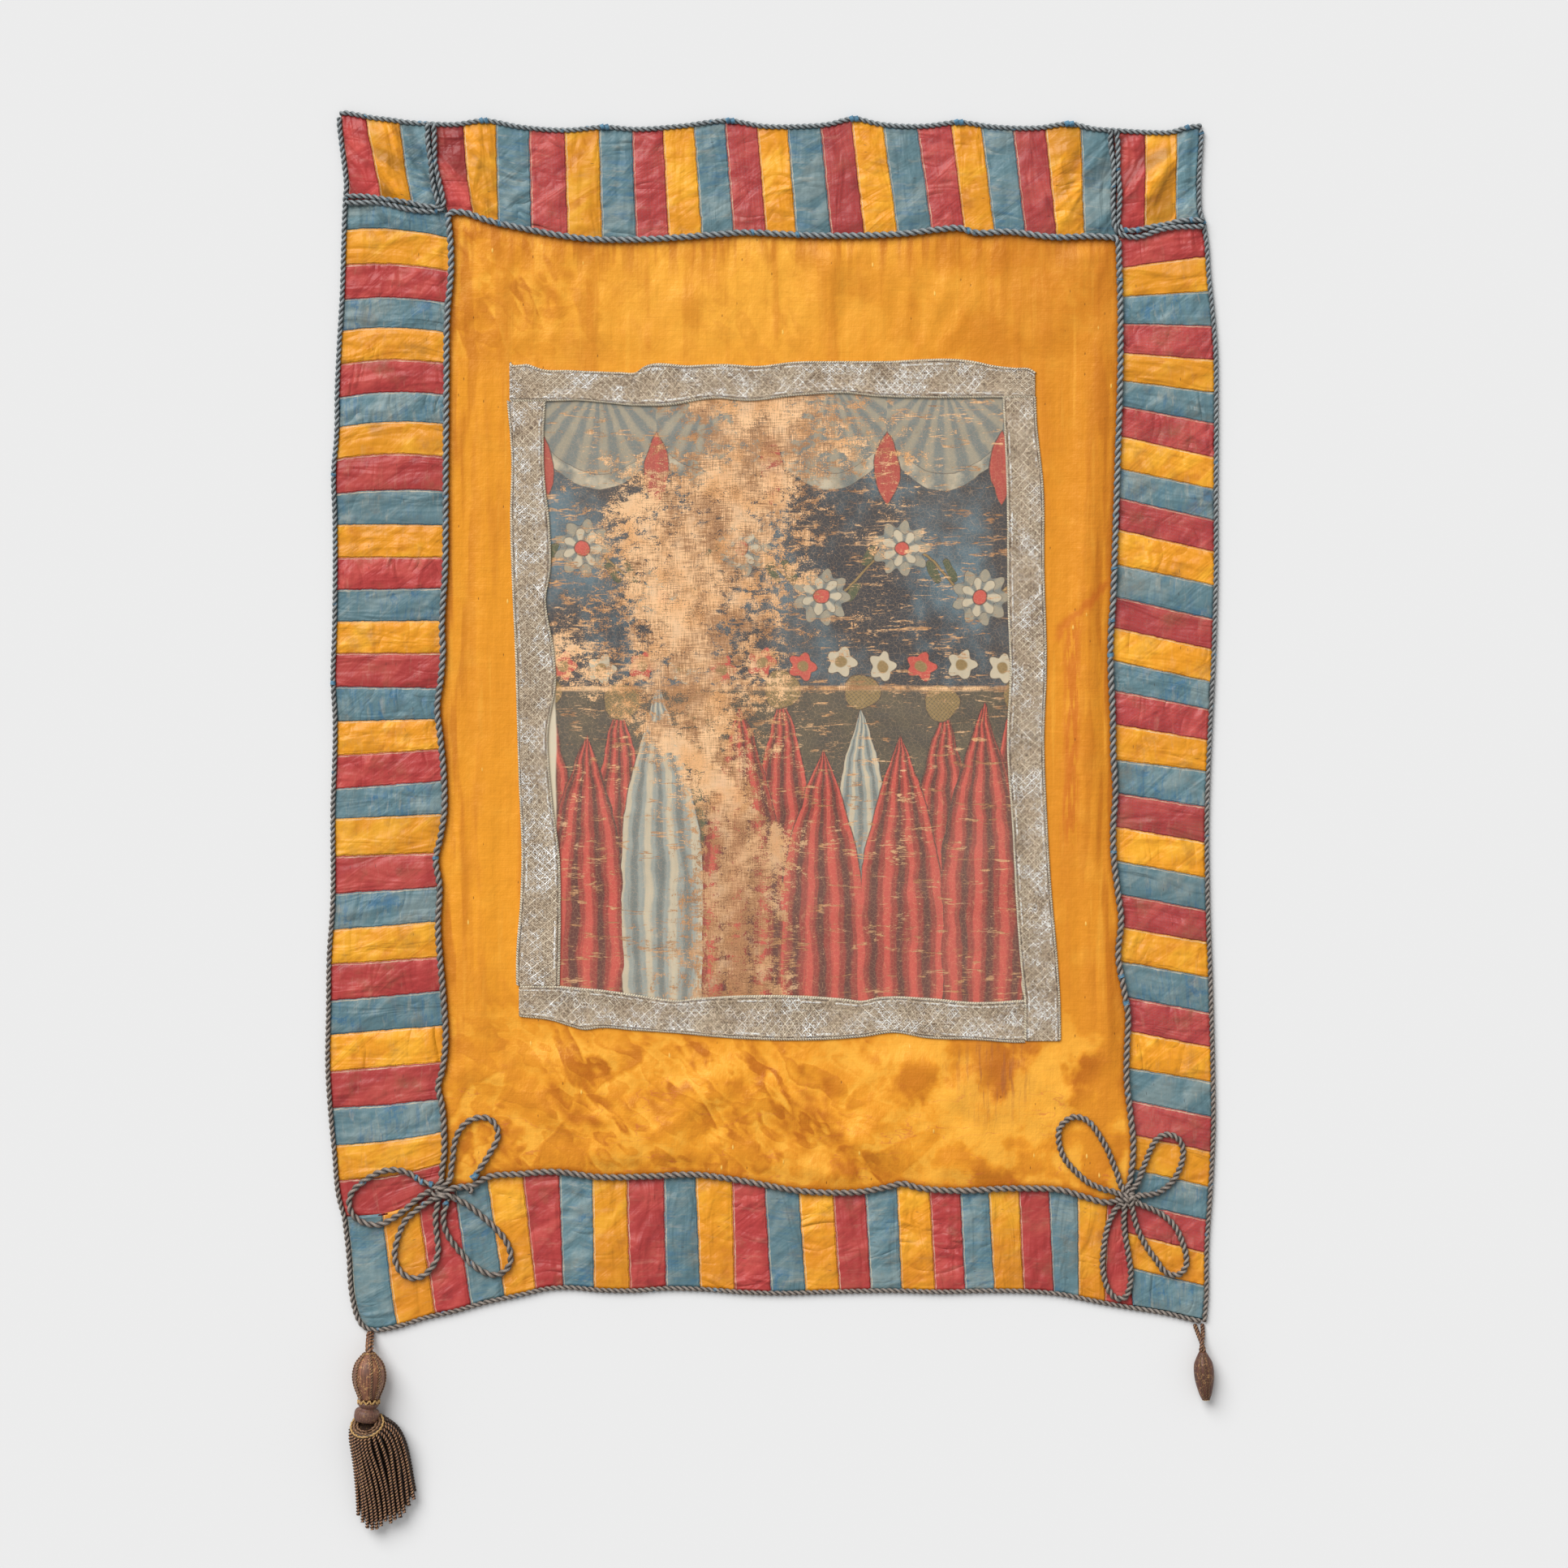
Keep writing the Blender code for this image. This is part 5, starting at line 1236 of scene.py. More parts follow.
    # a garland: a waving stem with leaves, rosettes at its turns
    fromStem = y - look["garlandHeight"] - 0.030 * graph.wave((x - start) * (math.pi / leafPitch))
    colour = lay(colour, abs(fromStem) - 0.0019, look["ochre"], 0.0008)
    sprigX, sprig = repeated(sprigPitch, start)
    side = 1.0 - 2.0 * (sprig % 2.0)
    sprigs = leaf(fromStem - 0.010 * side, sprigX + 0.15 * fromStem, 0.0085, 0.009)
    colour = lay(colour, sprigs, look["green"], 0.0007)
    crestX, crest = repeated(leafPitch, start)
    crestY = y - look["garlandHeight"] - 0.026 * (1.0 - 2.0 * (crest % 2.0))
    for size, count, tint in look["rosettes"]:
        outside, reach, lobes = flower(crestX, crestY, size, count, 0.13)
        petals = graph.mix(graph.step(lobes, -0.9, 0.3), look["blueShade"], look[tint])
        colour = lay(colour, outside, petals, 0.0008, 0.55)
    colour = lay(colour, reach - look["rosetteHeart"], look["red"])
    # a scalloped hanging along the top, in greys, with drawn folds and red drops
    halfScallop = look["scallopPitch"] / 2
    scallopX, _ = repeated(look["scallopPitch"], start - 0.0015)
    foot, higher = look["scallop"]
    drop = foot + higher * ((scallopX / halfScallop) ** 2.0)
    pleats = graph.wave(graph.sum("ARCTAN2", y - 0.47, scallopX) * 24.0 + 1.5 * (strokes - 0.5))
    hanging = graph.mix(graph.step(pleats, -0.7, 0.8), look["blueShade"], look["grey"])
    colour = lay(colour, drop - y, graph.mix(graph.step(brush, 0.4, 0.7), hanging, look["cream"]), 0.0008, 0.55)
    colour = lay(colour, drop + look["scallopHem"] - y, hanging, 0.0008, 0.55)
    dropX, _ = repeated(look["scallopPitch"], start - 0.0015 + halfScallop)
    middle, *halves = look["tongue"]
    colour = lay(colour, leaf(dropX, y - middle, *halves), graph.mix(strokes, look["deepRed"], look["red"]))
    # brushwork, and the haze of old varnish
    colour = graph.shade(colour, 0.74 + 0.26 * brush + 0.26 * strokes)
    colour = graph.mix(0.20 * graph.noise(place, 7.0, 3.0), colour, look["haze"])

    # wear: bare cloth down the middle, flakes elsewhere and level cracks
    realX, realY, _ = graph.parts(place)
    middleX = look["bareMiddle"]
    for aside, low, high in look["bareSteps"]:
        middleX = middleX + aside * graph.step(realY, low, high)
    wider, low, high = look["bareWidens"]
    spread = look["bareHalfWidth"] + wider * graph.step(realY, low, high)
    worn = 1.0 - abs(realX - middleX) / spread * 0.5
    large = graph.noise(place, 11.0, 4.0, 0.6)
    flakes = graph.drawn(place, 70.0, 105.0, 7.0, 0.72, 0.4)
    grit = graph.drawn(place, 620.0, 760.0, roughness=0.75)
    scratches = graph.drawn(place, 620.0, 110.0, 4.0, 0.75)
    corner = graph.step(realX, 0.02, -0.10) * graph.step(realY, 0.06, -0.08)
    amount = 0.92 * worn + 1.1 * (large - 0.5) + 2.1 * (flakes - 0.5) + 1.3 * (grit - 0.5)
    amount = amount + corner * (0.14 + 1.3 * (scratches - 0.5))
    patches = graph.step(graph.noise(place, 19.0, 3.0, 0.6), 0.54, 0.70) * 0.30
    broken = graph.step(graph.drawn(place, 40.0, 90.0, 4.0, 0.7), 0.49, 0.56)
    level = abs(graph.drawn(place, 5.0, 34.0, 5.0, 0.62) - 0.5) + 0.02 * (grit - 0.5)
    finer = abs(graph.drawn(place, 16.0, 90.0, 4.0, 0.65) - 0.5)
    finer = graph.step(finer, 0.014, 0.004) * graph.step(large, 0.46, 0.56)
    crack = graph.most(graph.step(level, 0.016, 0.006), finer) * broken
    foldLine = graph.step(abs(realY - look["foldLine"] + 0.004 * (large - 0.5)), 0.0040, 0.0008)
    foldLine = foldLine * graph.step(flakes, 0.30, 0.50)
    bare = graph.most(graph.step(amount + patches, 0.60, 0.67), graph.most(crack * 0.9, foldLine * 0.95))
    threads = graph.wave(realX * 3900.0) * graph.wave(realY * 3900.0)
    rows, columns = (graph.drawn(place, *waves, 3.0, 0.7) for waves in ((900.0, 60.0), (60.0, 900.0)))
    tint = graph.step(large + 0.4 * (brush - 0.5) + 0.7 * (rows + columns - 1.0), 0.38, 0.66)
    cloth = graph.coats(
        look, graph.mix(tint, look["bareDark"], look["bare"]),
        (graph.step(graph.noise(place, 28.0, 3.0), 0.46, 0.7) * 0.6, "bareOrange"),
        (graph.step(realY, 0.09, -0.08) * 0.5, "bareDark"),
        (graph.step(brush + 0.5 * (grit - 0.5), 0.50, 0.72) * 0.25, "haze"),
        (graph.step(grit + 0.6 * (brush - 0.5) + 0.4 * (columns - 0.5), 0.44, 0.30) * 0.58, "outline"),
    )
    cloth = graph.shade(cloth, 0.62 + 0.42 * grit + 0.20 * rows + 0.20 * columns + 0.05 * threads)
    # the primed edge that shows beside the left strip of galloon, and the fine net of cracks in the paint
    margin = graph.step(realX + 0.006 * (graph.noise(place, 18.0) - 0.5), *look["primedEdge"])
    craquelure = graph.cells(graph.scaled(place, 210.0, 260.0), "DISTANCE_TO_EDGE")
    colour = graph.coats(
        look, graph.mix(bare * 0.94, colour, cloth),
        (margin * graph.step(realY, *look["primedBelow"]), "edge"),
        (graph.step(craquelure, 0.045, 0.01) * (1.0 - bare) * 0.16, "bare"),
    )
    height = (1.0 - bare) * 0.8 + 0.25 * threads + 0.3 * brush + 0.4 * rows + 0.4 * columns
    return graph.put(Base_Color=colour, Roughness=look["roughness"] + 0.25 * bare - 0.12 * (large - 0.5),
                     Normal=graph.bump(height, 0.0005, 0.6), Specular_IOR_Level=0.35)


# silver galloon

galloonStrips = {     # where each strip starts and ends, and which of its ends steps down beyond the canvas
    "top": {"from": -278, "to": 278.5, "downAt": (0, 1)},
    "bottom": {"from": -268, "to": 267.2, "downAt": (0,)},
    "left": {"from": 442.7, "to": -176.2, "downAt": ()},
    "right": {"from": 446.7, "to": -234.6, "downAt": (1,)},
}

galloonTrim = {
    "stepFoot": 11.0,          # it steps up over the canvas between these distances from its inner edge
    "stepTop": 6.5,
    "height": 2.3,
    "thickness": 1.3,
    "rise": 1.5,               # canvas and gap
    "ticks": 2.8,              # pitch of the picots on both edges
    "tickDepth": 0.55,
    "spacing": 0.95,
    "across": 15,
    "ruffle": 0.5,
    "selvedge": (0.35, 1.2),   # height and half width of the ridges near both edges
    "selvedgeAt": (4.5, 3),    # from the inner edge and from the outer one
    "bead": 0.3,
}

galloonLook = {
    "silver": tone(234, 220, 192),
    "bright": tone(246, 232, 206),
    "tarnish": tone(110, 88, 66),
    "thread": tone(202, 178, 148),
    "dark": tone(60, 48, 40),
    "spark": tone(255, 254, 250),
    "stitch": tone(58, 42, 34),
    "width": 0.037,            # m
    "lozenge": 0.0180,
    "bead": 0.0026,
    "weave": 3300.0,
}


def makeGalloon():
    s, finish = galloonTrim, silverGalloon()
    for side, strip in galloonStrips.items():
        axis = 0 if side in ("top", "bottom") else 1
        length = abs(strip["to"] - strip["from"])
        count = int(length / s["spacing"])
        at = np.linspace(strip["from"], strip["to"], count)

        def levelWith(rim):     # the rim's points at the places along the strip, level with its ends beyond them
            order = np.argsort(rim[:, axis])
            points = np.empty((count, 2))
            points[:, axis] = at
            points[:, 1 - axis] = np.interp(at, rim[order, axis], rim[order, 1 - axis])
            return points

        outer = levelWith(framed(side, galloonCorners, galloonOutside))
        inner = levelWith(framed(side, openingCorners, canvasOpening))
        width = np.linalg.norm(inner - outer, axis=1)
        tick = np.abs(np.sin(math.pi * at / s["ticks"]))
        share = np.linspace(0, 1, s["across"])[:, None]
        share = share - 0.06 * np.sin(2 * math.pi * share)     # closer at the two edges
        lean = np.zeros((len(share), count, 2))
        lean[..., axis] = s["ticks"] * 0.5 * ((share < 0.02) | (share > 0.98))
        grow = (s["tickDepth"] * tick ** 1.5 / width) * (2 * share - 1) ** 7
        plan = outer[None] + (inner - outer)[None] * (share + grow)[..., None] + lean
        fromInner, fromOuter = width * (1 - share), width * share
        raised = ease((s["stepFoot"] - fromInner) / (s["stepFoot"] - s["stepTop"]))
        for end in strip["downAt"]:
            # beyond the opening's corner this is below 0
            past = (at - openingCorners[sideEnds[side][end]][axis]) * (1 - 2 * axis) * (1 - 2 * end)
            raised = raised * ease((past + s["stepFoot"]) / (s["stepFoot"] - s["stepTop"]))
        x, y = plan[..., 0], plan[..., 1]
        ruffle = s["ruffle"] * (0.5 + softNoise(x, y, 22, 31)) * ease(np.minimum(fromInner, fromOuter) / 5)
        ridge, half = s["selvedge"]
        selvedge = ridge * sum(np.exp(-((away - crest) / half) ** 2)
                               for away, crest in zip((fromInner, fromOuter), s["selvedgeAt"]))
        bead = s["bead"] * tick * ((share < 0.06) | (share > 0.94))
        under = s["height"] + s["rise"] * raised
        over = under + s["thickness"] + np.maximum(ruffle, -0.3) + selvedge + bead
        places = np.dstack([np.broadcast_to(at * 0.001, x.shape), np.broadcast_to(share, x.shape)])
        part = closedSheet(plan, under + np.maximum(ruffle, 0) * 0.8, over, places)
        piece = putMesh("silver_galloon_" + side, [part], finish, ["galloon_" + side])


def silverGalloon():
    look, graph = galloonLook, Graph("silver_galloon")
    place, cloth = graph.place(), graph.cloth()
    along, across, _ = graph.parts(cloth)
    level = across * look["width"]
    # a diaper of lozenges, each with another inside, over a fine basket weave
    pitch = 2 * math.pi / look["lozenge"]
    wavy = (graph.noise(place, 70.0) - 0.5) * 2.0
    one, two = graph.wave((along + level) * pitch + wavy), graph.wave((along - level) * pitch + wavy)
    crossed = graph.most(graph.step(abs(one), 0.34, 0.12), graph.step(abs(two), 0.34, 0.12))
    pattern = graph.most(crossed, 0.8 * graph.step(abs(abs(one * two) - 0.66), 0.16, 0.05))
    weave = graph.wave(along * look["weave"]) * graph.wave(level * look["weave"])
    grains = graph.drawn(cloth, 700.0, 14.0, roughness=0.75)
    grit, fine = graph.noise(place, 430.0, 3.0, 0.8), graph.noise(place, 420.0, 3.0, 0.8)
    cloud, worn = graph.noise(place, 30.0, 4.0, 0.62), graph.noise(place, 9.0, 3.0, 0.6)
    ribs = graph.wave(across * (2 * math.pi * 13.0))
    amount = grit * 0.80 + grains * 0.45 - 0.05 + 0.12 * weave + 0.02 * ribs + 0.42 * (cloud - 0.5) + 0.10 * pattern
    seen = graph.step(graph.noise(place, 36.0, 3.0, 0.6), 0.36, 0.56)
    pits = graph.step(graph.noise(place, 300.0, 2.0, 0.6), 0.60, 0.68) * (1.0 - 0.8 * pattern)
    # bright wire where the tarnish has rubbed off, painted near white as glints: the pattern's lines in patches, and a
    # line near each selvedge
    patch = graph.step(graph.noise(place, 40.0, 4.0, 0.7), 0.46, 0.60) * graph.step(worn, 0.30, 0.50)
    border = graph.step(abs(abs(across - 0.5) - 0.37), 0.028, 0.010)
    border = border * graph.step(graph.noise(place, 44.0), 0.46, 0.56) * graph.step(fine, 0.44, 0.54)
    spark = graph.most(graph.step(fine + 0.16 * pattern, 0.56, 0.62) * patch, border)
    # picots: pale beads with dark gaps at both edges, and the sewing thread's line inside them
    fromEdge = 0.5 - abs(across - 0.5)
    bead = graph.step(fromEdge, 0.046, 0.034)
    gaps = graph.step(abs(graph.wave(along * (math.pi / look["bead"]))), 0.62, 0.30)
    sewn = graph.step(abs(fromEdge - 0.068), 0.022, 0.008) * graph.step(graph.noise(place, 160.0), 0.34, 0.54)
    colour = graph.coats(
        look, look["tarnish"],
        (graph.step(amount, 0.44, 0.74), "thread"),
        (graph.step(amount, 0.72, 0.92), "silver"),
        (graph.step(cloud + 0.6 * (worn - 0.5), 0.50, 0.72) * 0.42, "tarnish"),
        (pattern * (0.14 + 0.56 * seen) * graph.step(grit, 0.36, 0.54), "bright"),
        (pits * 0.60, "dark"),
        (spark * 0.95, "spark"),
        (bead, "silver"),
        (bead * gaps * 0.9, "stitch"),
        (sewn * 0.7, "stitch"),
    )
    height = 0.5 * weave + 1.2 * grit + 0.2 * ribs + 1.2 * pattern + spark + bead * (1.0 - gaps)
    return graph.put(Base_Color=colour, Metallic=0.3 * spark, Roughness=0.52 - 0.22 * spark,
                     Normal=graph.bump(height, 0.0006, 0.6))


# twisted cords

cordage = {
    "edge": 6.0, "field": 7.8, "block": 6.6, "loop": 7.4,     # diameters
    "edgePitch": 6.6, "fieldPitch": 8.2, "blockPitch": 7.6,     # between the plies' crests
    "loopPitch": {"left": 9.0, "right": 6.8},
    "onSilk": 1.8,             # height of the underside of a cord that lies on the silk
    "pairPitch": 6.0,
    "pairPoints": 260,
    "pairWind": (22, 0.7, 0.9),     # how far the pair winds along its run, in radians, its sway and its rise
    "blockCorners": {"left": (-349, 646), "right": (363.9, 623)},
    "blockBends": {"left": 8.0, "right": 9.0},
    "fieldBend": 6.0,
    "fieldEnds": 9.0,
    "turn": 52.0,              # the left edge's cord runs this far along the bottom edge
    # how dark the painted shade at the cords' sides is
    "shadedSides": 0.62,
    "cool": (tone(150, 158, 160), tone(92, 100, 106), tone(202, 206, 206)),     # mean, dark, and the painted highlight on the plies' crests
    "warm": (tone(152, 140, 130), tone(96, 86, 80), tone(198, 184, 170)),
    # painted shade in the grooves between the plies and at the cords' sides
    "groove": tone(30, 25, 25),
}

knots = {
    # cords that cross in the lump: x, y from the knot's middle and height
    "left": (
        ((-11, -9.5, 5.6), (-5, -6.4, 8.6), (2, -4.6, 10.6), (9, -4.6, 9.6), (14.5, -8.2, 6.2)),
        ((-15, -0.4, 5.4), (-7, -3.4, 7.4), (1, -2.2, 9.6), (9, 2.2, 9.8), (17, 4.6, 7.6), (25, 4.2, 6.6),
         (31, 1.2, 6.2), (30, -2.4, 5.2)),
        ((-13, 8.6, 5.4), (-8, 3.4, 6.8), (-2, -0.4, 6.4), (4, -3.4, 5.4)),
        ((0.6, 14, 5.4), (-1.6, 8.6, 7.4), (-6, 4.8, 8.0), (-10.4, 2.4, 6.2)),
        ((9.2, 14, 5.4), (5, 7.4, 8.2), (-1, 3.4, 9.2), (-7, 1.4, 7.4)),
        ((-4.4, -14.5, 5.4), (-4, -8.8, 6.0), (-1, -4.6, 5.6)),
        ((4.6, -14.5, 5.4), (6.2, -8.8, 6.0), (6, -4, 5.6)),
        ((9.4, 2.6, 5.8), (5, 1.4, 6.6), (0, -0.5, 6.0)),
    ),
    "right": (
        ((-15, 5.2, 5.4), (-7, 2.4, 8.6), (0, 0.2, 10.4), (7, -1.6, 9.6), (15, -0.2, 6.2)),
        ((-12, -4.6, 5.8), (-5, -3.4, 8.4), (2, -3.8, 9.4), (8, -4.0, 7.4), (13, -6.6, 5.4)),
        ((-7, 14, 5.4), (-4, 8, 7.6), (-1.6, 2.6, 7.4)),
        ((2.6, 13, 5.6), (0.6, 7.6, 7.8), (1.4, 1.6, 7.6)),
        ((10.4, 12, 5.4), (6.6, 6.6, 7.6), (3, 1.6, 7.6)),
        ((6.4, -14, 5.4), (5.4, -7.8, 8.8), (5.6, -1.6, 10.8), (8.6, 2.2, 8.2)),
        ((-11.6, -14.2, 5.4), (-7, -9.6, 6.6), (-1, -8.4, 6.4), (3.4, -10, 5.4)),
        ((-1.8, -15, 5.4), (-1.6, -9.8, 6.4), (-1, -5, 6.0)),
    ),
    "into": 3.0,      # the loops' ends run this far into the lump
}

# Loops of the two knots, as x, y from the knot, from one end round to the other
loopsLeft = {
    "up": ((8.6, 12.4), (9.8, 23), (11.8, 36), (13, 49), (16, 59), (21.5, 68), (30, 75), (40.5, 78),
           (50, 76.5), (57, 69.5), (59.5, 60), (56, 49), (50, 39), (44, 29), (38, 20.5), (34.5, 15)),
    "out": ((-11.6, 7.4), (-21.5, 10), (-29, 15.5), (-39, 20.5), (-52, 22.5), (-64.5, 20.5),
            (-75, 15.5), (-85, 8.5), (-93.5, 1), (-97.6, -7), (-98, -15.5), (-95, -24), (-87.5, -31),
            (-77.5, -35), (-66, -35.5), (-56, -31.5), (-47, -25.8), (-38.5, -19.3), (-30.5, -12),
            (-22, -5.2), (-13.6, -0.6)),
    "low": ((-10.6, -8.8), (-18.5, -13.8), (-29, -22), (-38.5, -31), (-44, -41.5), (-48, -54),
            (-50, -67), (-48, -78), (-42, -87), (-32.5, -92), (-21.5, -90.5), (-12, -82.5),
            (-6.5, -74), (-4, -63), (-5, -50), (-6.3, -37), (-6.6, -24), (-4.0, -13.4)),
    "in": ((12.2, -6.8), (23, -12), (34.5, -20), (44.5, -28.5), (55, -38), (64.5, -48), (70.5, -58.5),
           (73, -69.5), (70.5, -80), (63, -87), (52.5, -88.5), (43, -85), (32.5, -78), (22.5, -68),
           (14.5, -58.5), (7, -48), (2.5, -37), (1.8, -24), (4.2, -13.2)),
}
loopsRight = {
    "in": ((-6.4, 12.8), (-9, 22.5), (-13.5, 33.5), (-19, 47.5), (-25, 58.5), (-32, 69.5),
           (-38.5, 77.5), (-46.5, 82.5), (-56, 83.5), (-64.5, 79), (-70.5, 71.5), (-71.5, 61),
           (-69.5, 50), (-64.5, 38.5), (-57.5, 30), (-49, 21.6), (-40.5, 14.6), (-30, 9.6), (-21, 6.4),
           (-13.4, 4.8)),
    "up": ((9.8, 10.6), (14.5, 20), (18.6, 31), (21.5, 38.5), (26.5, 50.5), (32, 59.5), (39.5, 64.5),
           (48, 64.5), (56, 59.5), (60, 50.5), (60, 40.5), (56.5, 28.5), (50.5, 17.5), (42, 8.5),
           (32.5, 3), (22, 1), (14, 0.9)),
    "out": ((12, -7.2), (19, -10.5), (26.5, -13.5), (37, -19), (47.5, -27.5), (55, -38), (60, -50.5),
            (63.5, -63), (63, -75), (57, -82.5), (48, -83.5), (39.5, -78.5), (32, -68), (24, -57.5),
            (17, -45.5), (11.5, -33.5), (8, -21.5), (6.2, -12.6)),
    "low": ((-11, -13.2), (-13.5, -17.5), (-17.5, -26), (-21.5, -40.5), (-24, -57.5), (-25, -73),
            (-23, -87.5), (-18, -100.5), (-9.5, -108.5), (-1, -107), (3.5, -96.5), (5, -83.5),
            (3.5, -69), (1, -53.5), (-1.5, -38.5), (-2.5, -23), (-1.9, -14)),
}


def atHeight(route, height):
    return np.column_stack([route[:, :2], np.broadcast_to(height, len(route))])


def cordRoutes():
    # every sewn cord: its route with heights, its diameter and its pitch
    c, s = cordage, {}
    half = c["edge"] / 2
    butt = half + 3 * flag["gap"]
    bottom = joined(line["bottom1"], line["bottom2"])
    foot = cutEnds(bottom, 0, alongLine(bottom)[-1] - c["turn"])
    for name, route in (
        ("top", joined(line["top1"], line["top2"], line["top3"])),
        ("left", cutEnds(joined(line["left1"], line["left2"], line["left3"], foot), butt, 0.1)),
        ("right", cutEnds(joined(line["right1"], line["right2"]), butt, 0)),
        ("bottom", cutEnds(bottom, c["turn"] + 0.1, butt)),
    ):
        s["edge_cord_" + name] = (atHeight(route, half), c["edge"], c["edgePitch"])
    over = turnCorner(line["fieldLeft"][::-1], line["fieldTop"], c["fieldBend"])
    over = turnCorner(over, line["fieldRight"], c["fieldBend"])
    for name, route in (("field_cord", over), ("field_cord_bottom", line["fieldBottom"])):
        route = cutEnds(route, c["fieldEnds"], c["fieldEnds"])
        s[name] = (atHeight(route, c["onSilk"] + c["field"] / 2), c["field"], c["fieldPitch"])
    for side, down, across in (
        ("left", planRuns["blockLeftDown"][:3], planRuns["blockLeftAcross"][-2::-1]),
        ("right", planRuns["blockRightDown"][:3], planRuns["blockRightAcross"][1:]),
    ):
        corner = c["blockCorners"][side]
        middle = turnCorner(throughPoints(*down, corner), throughPoints(corner, *across), c["blockBends"][side])
        for number, offset in ((1, -0.5), (2, 0.5)):
            run = resample(middle + offset * c["pairPitch"] * leftOf(middle), c["pairPoints"])
            turns, sway, rise = c["pairWind"]
            wind = np.sin(np.arange(len(run)) / len(run) * turns + number * math.pi)     # they cross over a little
            atEnds = 3.2 * ease(1 - fromEnds(run) / 9)
            run = run + sway * wind[:, None] * leftOf(run)
            height = c["onSilk"] + c["block"] / 2 + rise * wind + atEnds
            s[f"block_cord_{side}_{number}"] = (atHeight(run, height), c["block"], c["blockPitch"])
    for side, loops in (("left", loopsLeft), ("right", loopsRight)):
        knot = np.array(fieldCorners["bottom_" + side])
        for name, points in loops.items():
            ends = [points[i] - knots["into"] * np.array(points[i]) / np.linalg.norm(points[i]) for i in (0, -1)]
            route = throughPoints(*(knot + np.array([ends[0], *points, ends[1]])))
            height = c["onSilk"] + c["loop"] / 2 + 2.2 * ease(1 - fromEnds(route) / 26)
            s[f"loop_{side}_{name}"] = (atHeight(route, height), c["loop"], c["loopPitch"][side])
    return s


def makeCords(routes):
    c, finish = cordage, twistedSilk()
    for number, (name, (route, diameter, pitch)) in enumerate(routes.items()):
        part = twistedCord(route, diameter, pitch, phase=0.9 * number, beside=c["shadedSides"])
        putMesh("twisted_" + name, [part], finish, [name])
    for side in ("left", "right"):
        middle = (*fieldCorners["bottom_" + side], 0)
        parts = [
            twistedCord(throughPoints(*(np.array(points) + middle)), c["loop"], c["loopPitch"][side], phase=number,
                        beside=c["shadedSides"])
            for number, points in enumerate(knots[side])
        ]
        putMesh("knot_of_cord_" + side, parts, finish, ["knot_" + side])


def twistedSilk():
    look, graph = cordage, Graph("twisted_cord")
    place = graph.place()
    turns, round_, _ = graph.parts(graph.cloth())
    deep = graph.value("groove")
    high = graph.step(graph.parts(place)[1], -0.30, 0.45)
    patch, fuzz = graph.noise(place, 34.0, 3.0, 0.6), graph.noise(place, 900.0, 2.0, 0.7)
    # the cords are warmer in tone at the foot of the flag
    mean, dark, crest = (graph.mix(high, warm, cool) for warm, cool in zip(look["warm"], look["cool"]))
    yarn = graph.wave((round_ - turns) * (2 * math.pi * 14.0))
    colour = graph.mix(graph.step(patch, 0.38, 0.80) * 0.40, mean, dark)
    # a painted highlight along the plies' crests
    colour = graph.mix(graph.step(deep, 0.40, 0.0) * (0.40 + 0.30 * yarn), colour, crest)
    colour = graph.mix(graph.step(yarn, -0.2, -1.0) * 0.45, colour, dark)
    dabs = graph.step(graph.noise(place, 95.0, 2.0, 0.6), 0.655, 0.70) * graph.step(deep, 0.15, 0.55)
    colour = graph.mix(dabs * 0.75, colour, repairs["colour"])
    # painted shade in the grooves and at the sides, less where blue thread lies
    colour = graph.mix(graph.step(deep, 0.36, 0.88) * (0.94 - 0.4 * dabs), colour, look["groove"])
    return graph.put(Base_Color=graph.shade(colour, 0.86 + 0.28 * fuzz), Roughness=0.5 + 0.2 * (patch - 0.5),
                     Normal=graph.bump(yarn * 0.6 + fuzz, 0.0004, 0.5))


# repairs and ties of blue thread

repairs = {
    # where a few turns of light blue thread hold a cord down, in photo pixels
    "places": (
        (411, 585), (411, 842), (537, 1057), (928, 290), (983, 292), (1193, 284), (1302, 291), (1378, 345),
        (1378, 543), (1374, 700), (1370, 765), (1367, 808), (1371, 1050), (1380, 1203), (1386, 1236), (513, 1452),
        (518, 1462), (530, 1461), (547, 1482), (580, 1450), (590, 1450), (1376, 210), (1366, 230), (538, 259),
        (1467, 271), (1481, 275), (1387, 284), (1401, 280), (616, 275), (452, 142), (1463, 157), (1479, 165),
    ),
    "turns": (2, 6),           # from the first to one less than the second
    "tiesX": (-305, -177, -44, 87, 198, 315),     # plan x of the six ties on the top edge
    "tieShifts": (-2.6, 2.4),
    "tieTurns": 5,
    "thread": 0.75,
    "colour": tone(104, 156, 186),
    "shade": tone(40, 76, 98),
}


